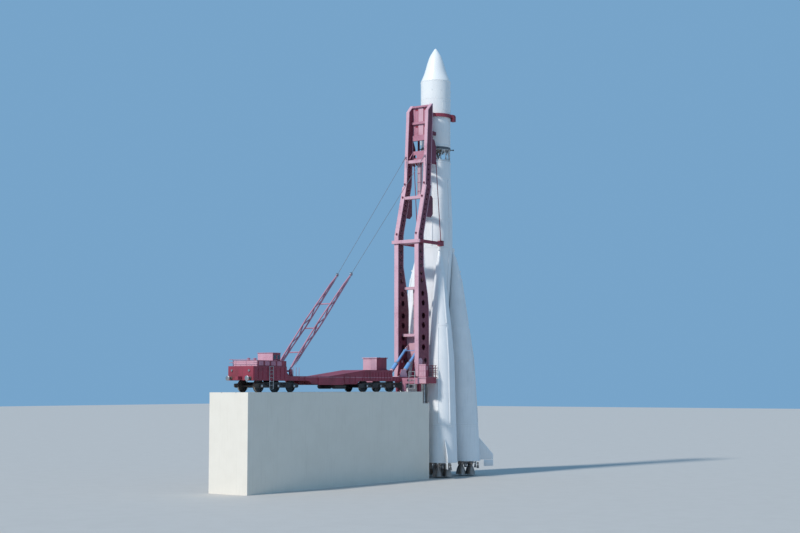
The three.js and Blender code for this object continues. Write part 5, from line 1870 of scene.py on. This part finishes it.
    def _ends(self) -> None:
        """Buffers, lamps and air tanks."""
        dark, metal, back = Shape(), Shape(), (-1, 0, 0)
        sleeve = [(0.0, 0.0), (0.13, 0.0), (0.13, 0.05), (0.085, 0.07), (0.085, 0.30), (0.0, 0.30)]
        head = [(0.0, 0.28), (0.06, 0.28), (0.06, 0.38), (0.19, 0.39), (0.19, 0.42), (0.14, 0.44),
                (0.0, 0.445)]
        lamp = [(0.0, 0.0), (0.09, 0.0), (0.09, 0.06), (0.075, 0.09), (0.0, 0.1)]
        tank = [(0.0, 0.0), (0.15, 0.03), (0.2, 0.1), (0.2, 1.5), (0.15, 1.57), (0.0, 1.6)]
        for y in (-0.95, 0.95):
            place = aimed((-25.89, y, 1.05), back)
            dark.lathe(sleeve, 32, place)
            metal.lathe(head, 32, place)
            metal.lathe(lamp, 24, aimed((-25.89, y * 0.9, 1.62), back))
        for side in BOTH:
            y = side * 0.72
            dark.lathe(tank, 32, aimed((-14.2, y, 0.45), back))
            dark.boxes(((-s - 0.03, y - 0.03, 0.6), (-s + 0.03, y + 0.03, top), 0.006)
                       for s, top in ((14.6, 1.42), (15.4, 1.34)))
        show(dark, "buffers_and_tanks", "car", BLACK)
        show(metal, "buffer_heads", "car", STEEL)


# Floor, light and camera


@dataclass(frozen=True)
class Lamp:
    """A distant lamp: the way its light travels, its strength, its width in degrees and its tint."""

    name: str
    way: Point
    energy: float
    width: float
    tint: Point

    def hang(self) -> None:
        """Adds the lamp to the scene."""
        data = bpy.data.lights.new(self.name, "SUN")
        data.energy, data.angle, data.color = self.energy, math.radians(self.width), self.tint
        lamp = bpy.data.objects.new(self.name, data)
        lamp.rotation_euler = Vector(self.way).to_track_quat("-Z", "Y").to_euler()
        bpy.context.scene.collection.objects.link(lamp)


@dataclass(frozen=True)
class Camera:
    """The photograph's view: low, far off, on the near side of the car. Angles are in radians."""

    focal_pixels: float = 1419.6
    distance: float = 127.0
    height: float = 0.381
    azimuth: float = math.radians(-55.834)
    aside: float = 0.02547
    rise: float = 0.08482
    sensor: float = 36.0
    reach: float = 2000.0

    def place(self) -> None:
        """Adds the camera to the scene."""
        data = bpy.data.cameras.new("camera")
        data.sensor_width = self.sensor
        data.lens = self.focal_pixels / PIXELS_WIDE * self.sensor
        data.clip_end = self.reach
        camera = bpy.data.objects.new("camera", data)
        east, north = math.sin(self.azimuth), math.cos(self.azimuth)
        camera.location = (self.distance * east, -self.distance * north, self.height)
        ahead = math.atan2(north, -east) + self.aside
        way = Vector(polar(math.cos(self.rise), ahead, math.sin(self.rise)))
        camera.rotation_euler = way.to_track_quat("-Z", "Y").to_euler()
        bpy.context.scene.collection.objects.link(camera)
        bpy.context.scene.camera = camera


@dataclass
class Stage:
    """Pale floor, the block under the car, soft light and the camera."""

    floor: float = up(0.0) - 0.12
    reach: float = 400.0
    block_half: float = 1.9
    rail_groove: Rows = ((0.76, 0.0), (0.76, -0.05), (0.68, -0.05), (0.68, 0.0))
    sky: tuple[float, float, float, float] = (0.31, 0.62, 0.98, 1.0)
    sky_strength: float = 0.6
    lamps: Sequence[Lamp] = (
        Lamp("key", (0.75, -0.13, -0.65), 3.15, 5.0, (1.0, 0.97, 0.92)),
        Lamp("fill", (0.30, 0.85, -0.30), 0.1, 60.0, (0.80, 0.90, 1.0)),
    )

    def build(self) -> None:
        """Makes the stage."""
        corners = oblong(-self.reach, self.reach, -self.reach, self.reach)
        ground = Shape().put([Vector((x, y, self.floor)) for x, y in corners], [(0, 1, 2, 3)])
        self._set("floor", ground, FLOOR)
        half = self.block_half
        grooves = [*self.rail_groove, *((-y, z) for y, z in reversed(self.rail_groove))]
        section = [(-half, self.floor), (half, self.floor), (half, 0.0), *grooves, (-half, 0.0)]
        block = Shape().slab(section, 4.85, 27.2, cross_plane)
        block.slab(oblong(-half, half, self.floor, -1.0), 3.92, 4.85, cross_plane)
        self._set("block", block, PLINTH)
        self._light()
        Camera().place()

    def _set(self, name: str, shape: Shape, finish: Finish) -> None:
        """Adds one piece of the stage."""
        mesh = shape.mesh(name)
        mesh.materials.append(finish.material())
        piece = bpy.data.objects.new(name, mesh)
        bpy.context.scene.collection.objects.link(piece)

    def _light(self) -> None:
        """Soft key from the car's side, broad fill and a pale surround."""
        scene = bpy.context.scene
        scene.world = bpy.data.worlds.new("surround")
        scene.world.use_nodes = True
        back = scene.world.node_tree.nodes["Background"]
        back.inputs["Color"].default_value = self.sky
        back.inputs["Strength"].default_value = self.sky_strength
        for lamp in self.lamps:
            lamp.hang()
        scene.view_settings.view_transform = "Standard"


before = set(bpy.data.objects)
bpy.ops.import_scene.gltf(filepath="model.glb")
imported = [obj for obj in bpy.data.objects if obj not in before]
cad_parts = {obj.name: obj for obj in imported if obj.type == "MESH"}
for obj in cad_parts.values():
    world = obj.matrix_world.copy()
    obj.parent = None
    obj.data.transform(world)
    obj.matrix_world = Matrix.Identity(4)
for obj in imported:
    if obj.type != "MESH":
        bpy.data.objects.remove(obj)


def main() -> None:
    logging.basicConfig(level=logging.INFO, format="%(message)s")
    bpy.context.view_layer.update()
    trims = Trims.make()
    Stage().build()
    Upper(trims).build()
    Core(trims).build()
    for number, turn in enumerate(QUARTERS, 1):
        StrapOn(trims, number, turn).build()
    Boom(trims).build()
    Lift().build()
    Stays().build()
    Car(trims).build()
    wheelsets = 0
    for number, (centre, count) in enumerate(BOGIES, 1):
        axles = [centre + (k - (count - 1) / 2) * AXLE_PITCH for k in range(count)]
        Bogie(number, axles).build()
        for s in axles:
            wheelsets += 1
            Wheelset(wheelsets, s).build()


if __name__ == "__main__":
    main()
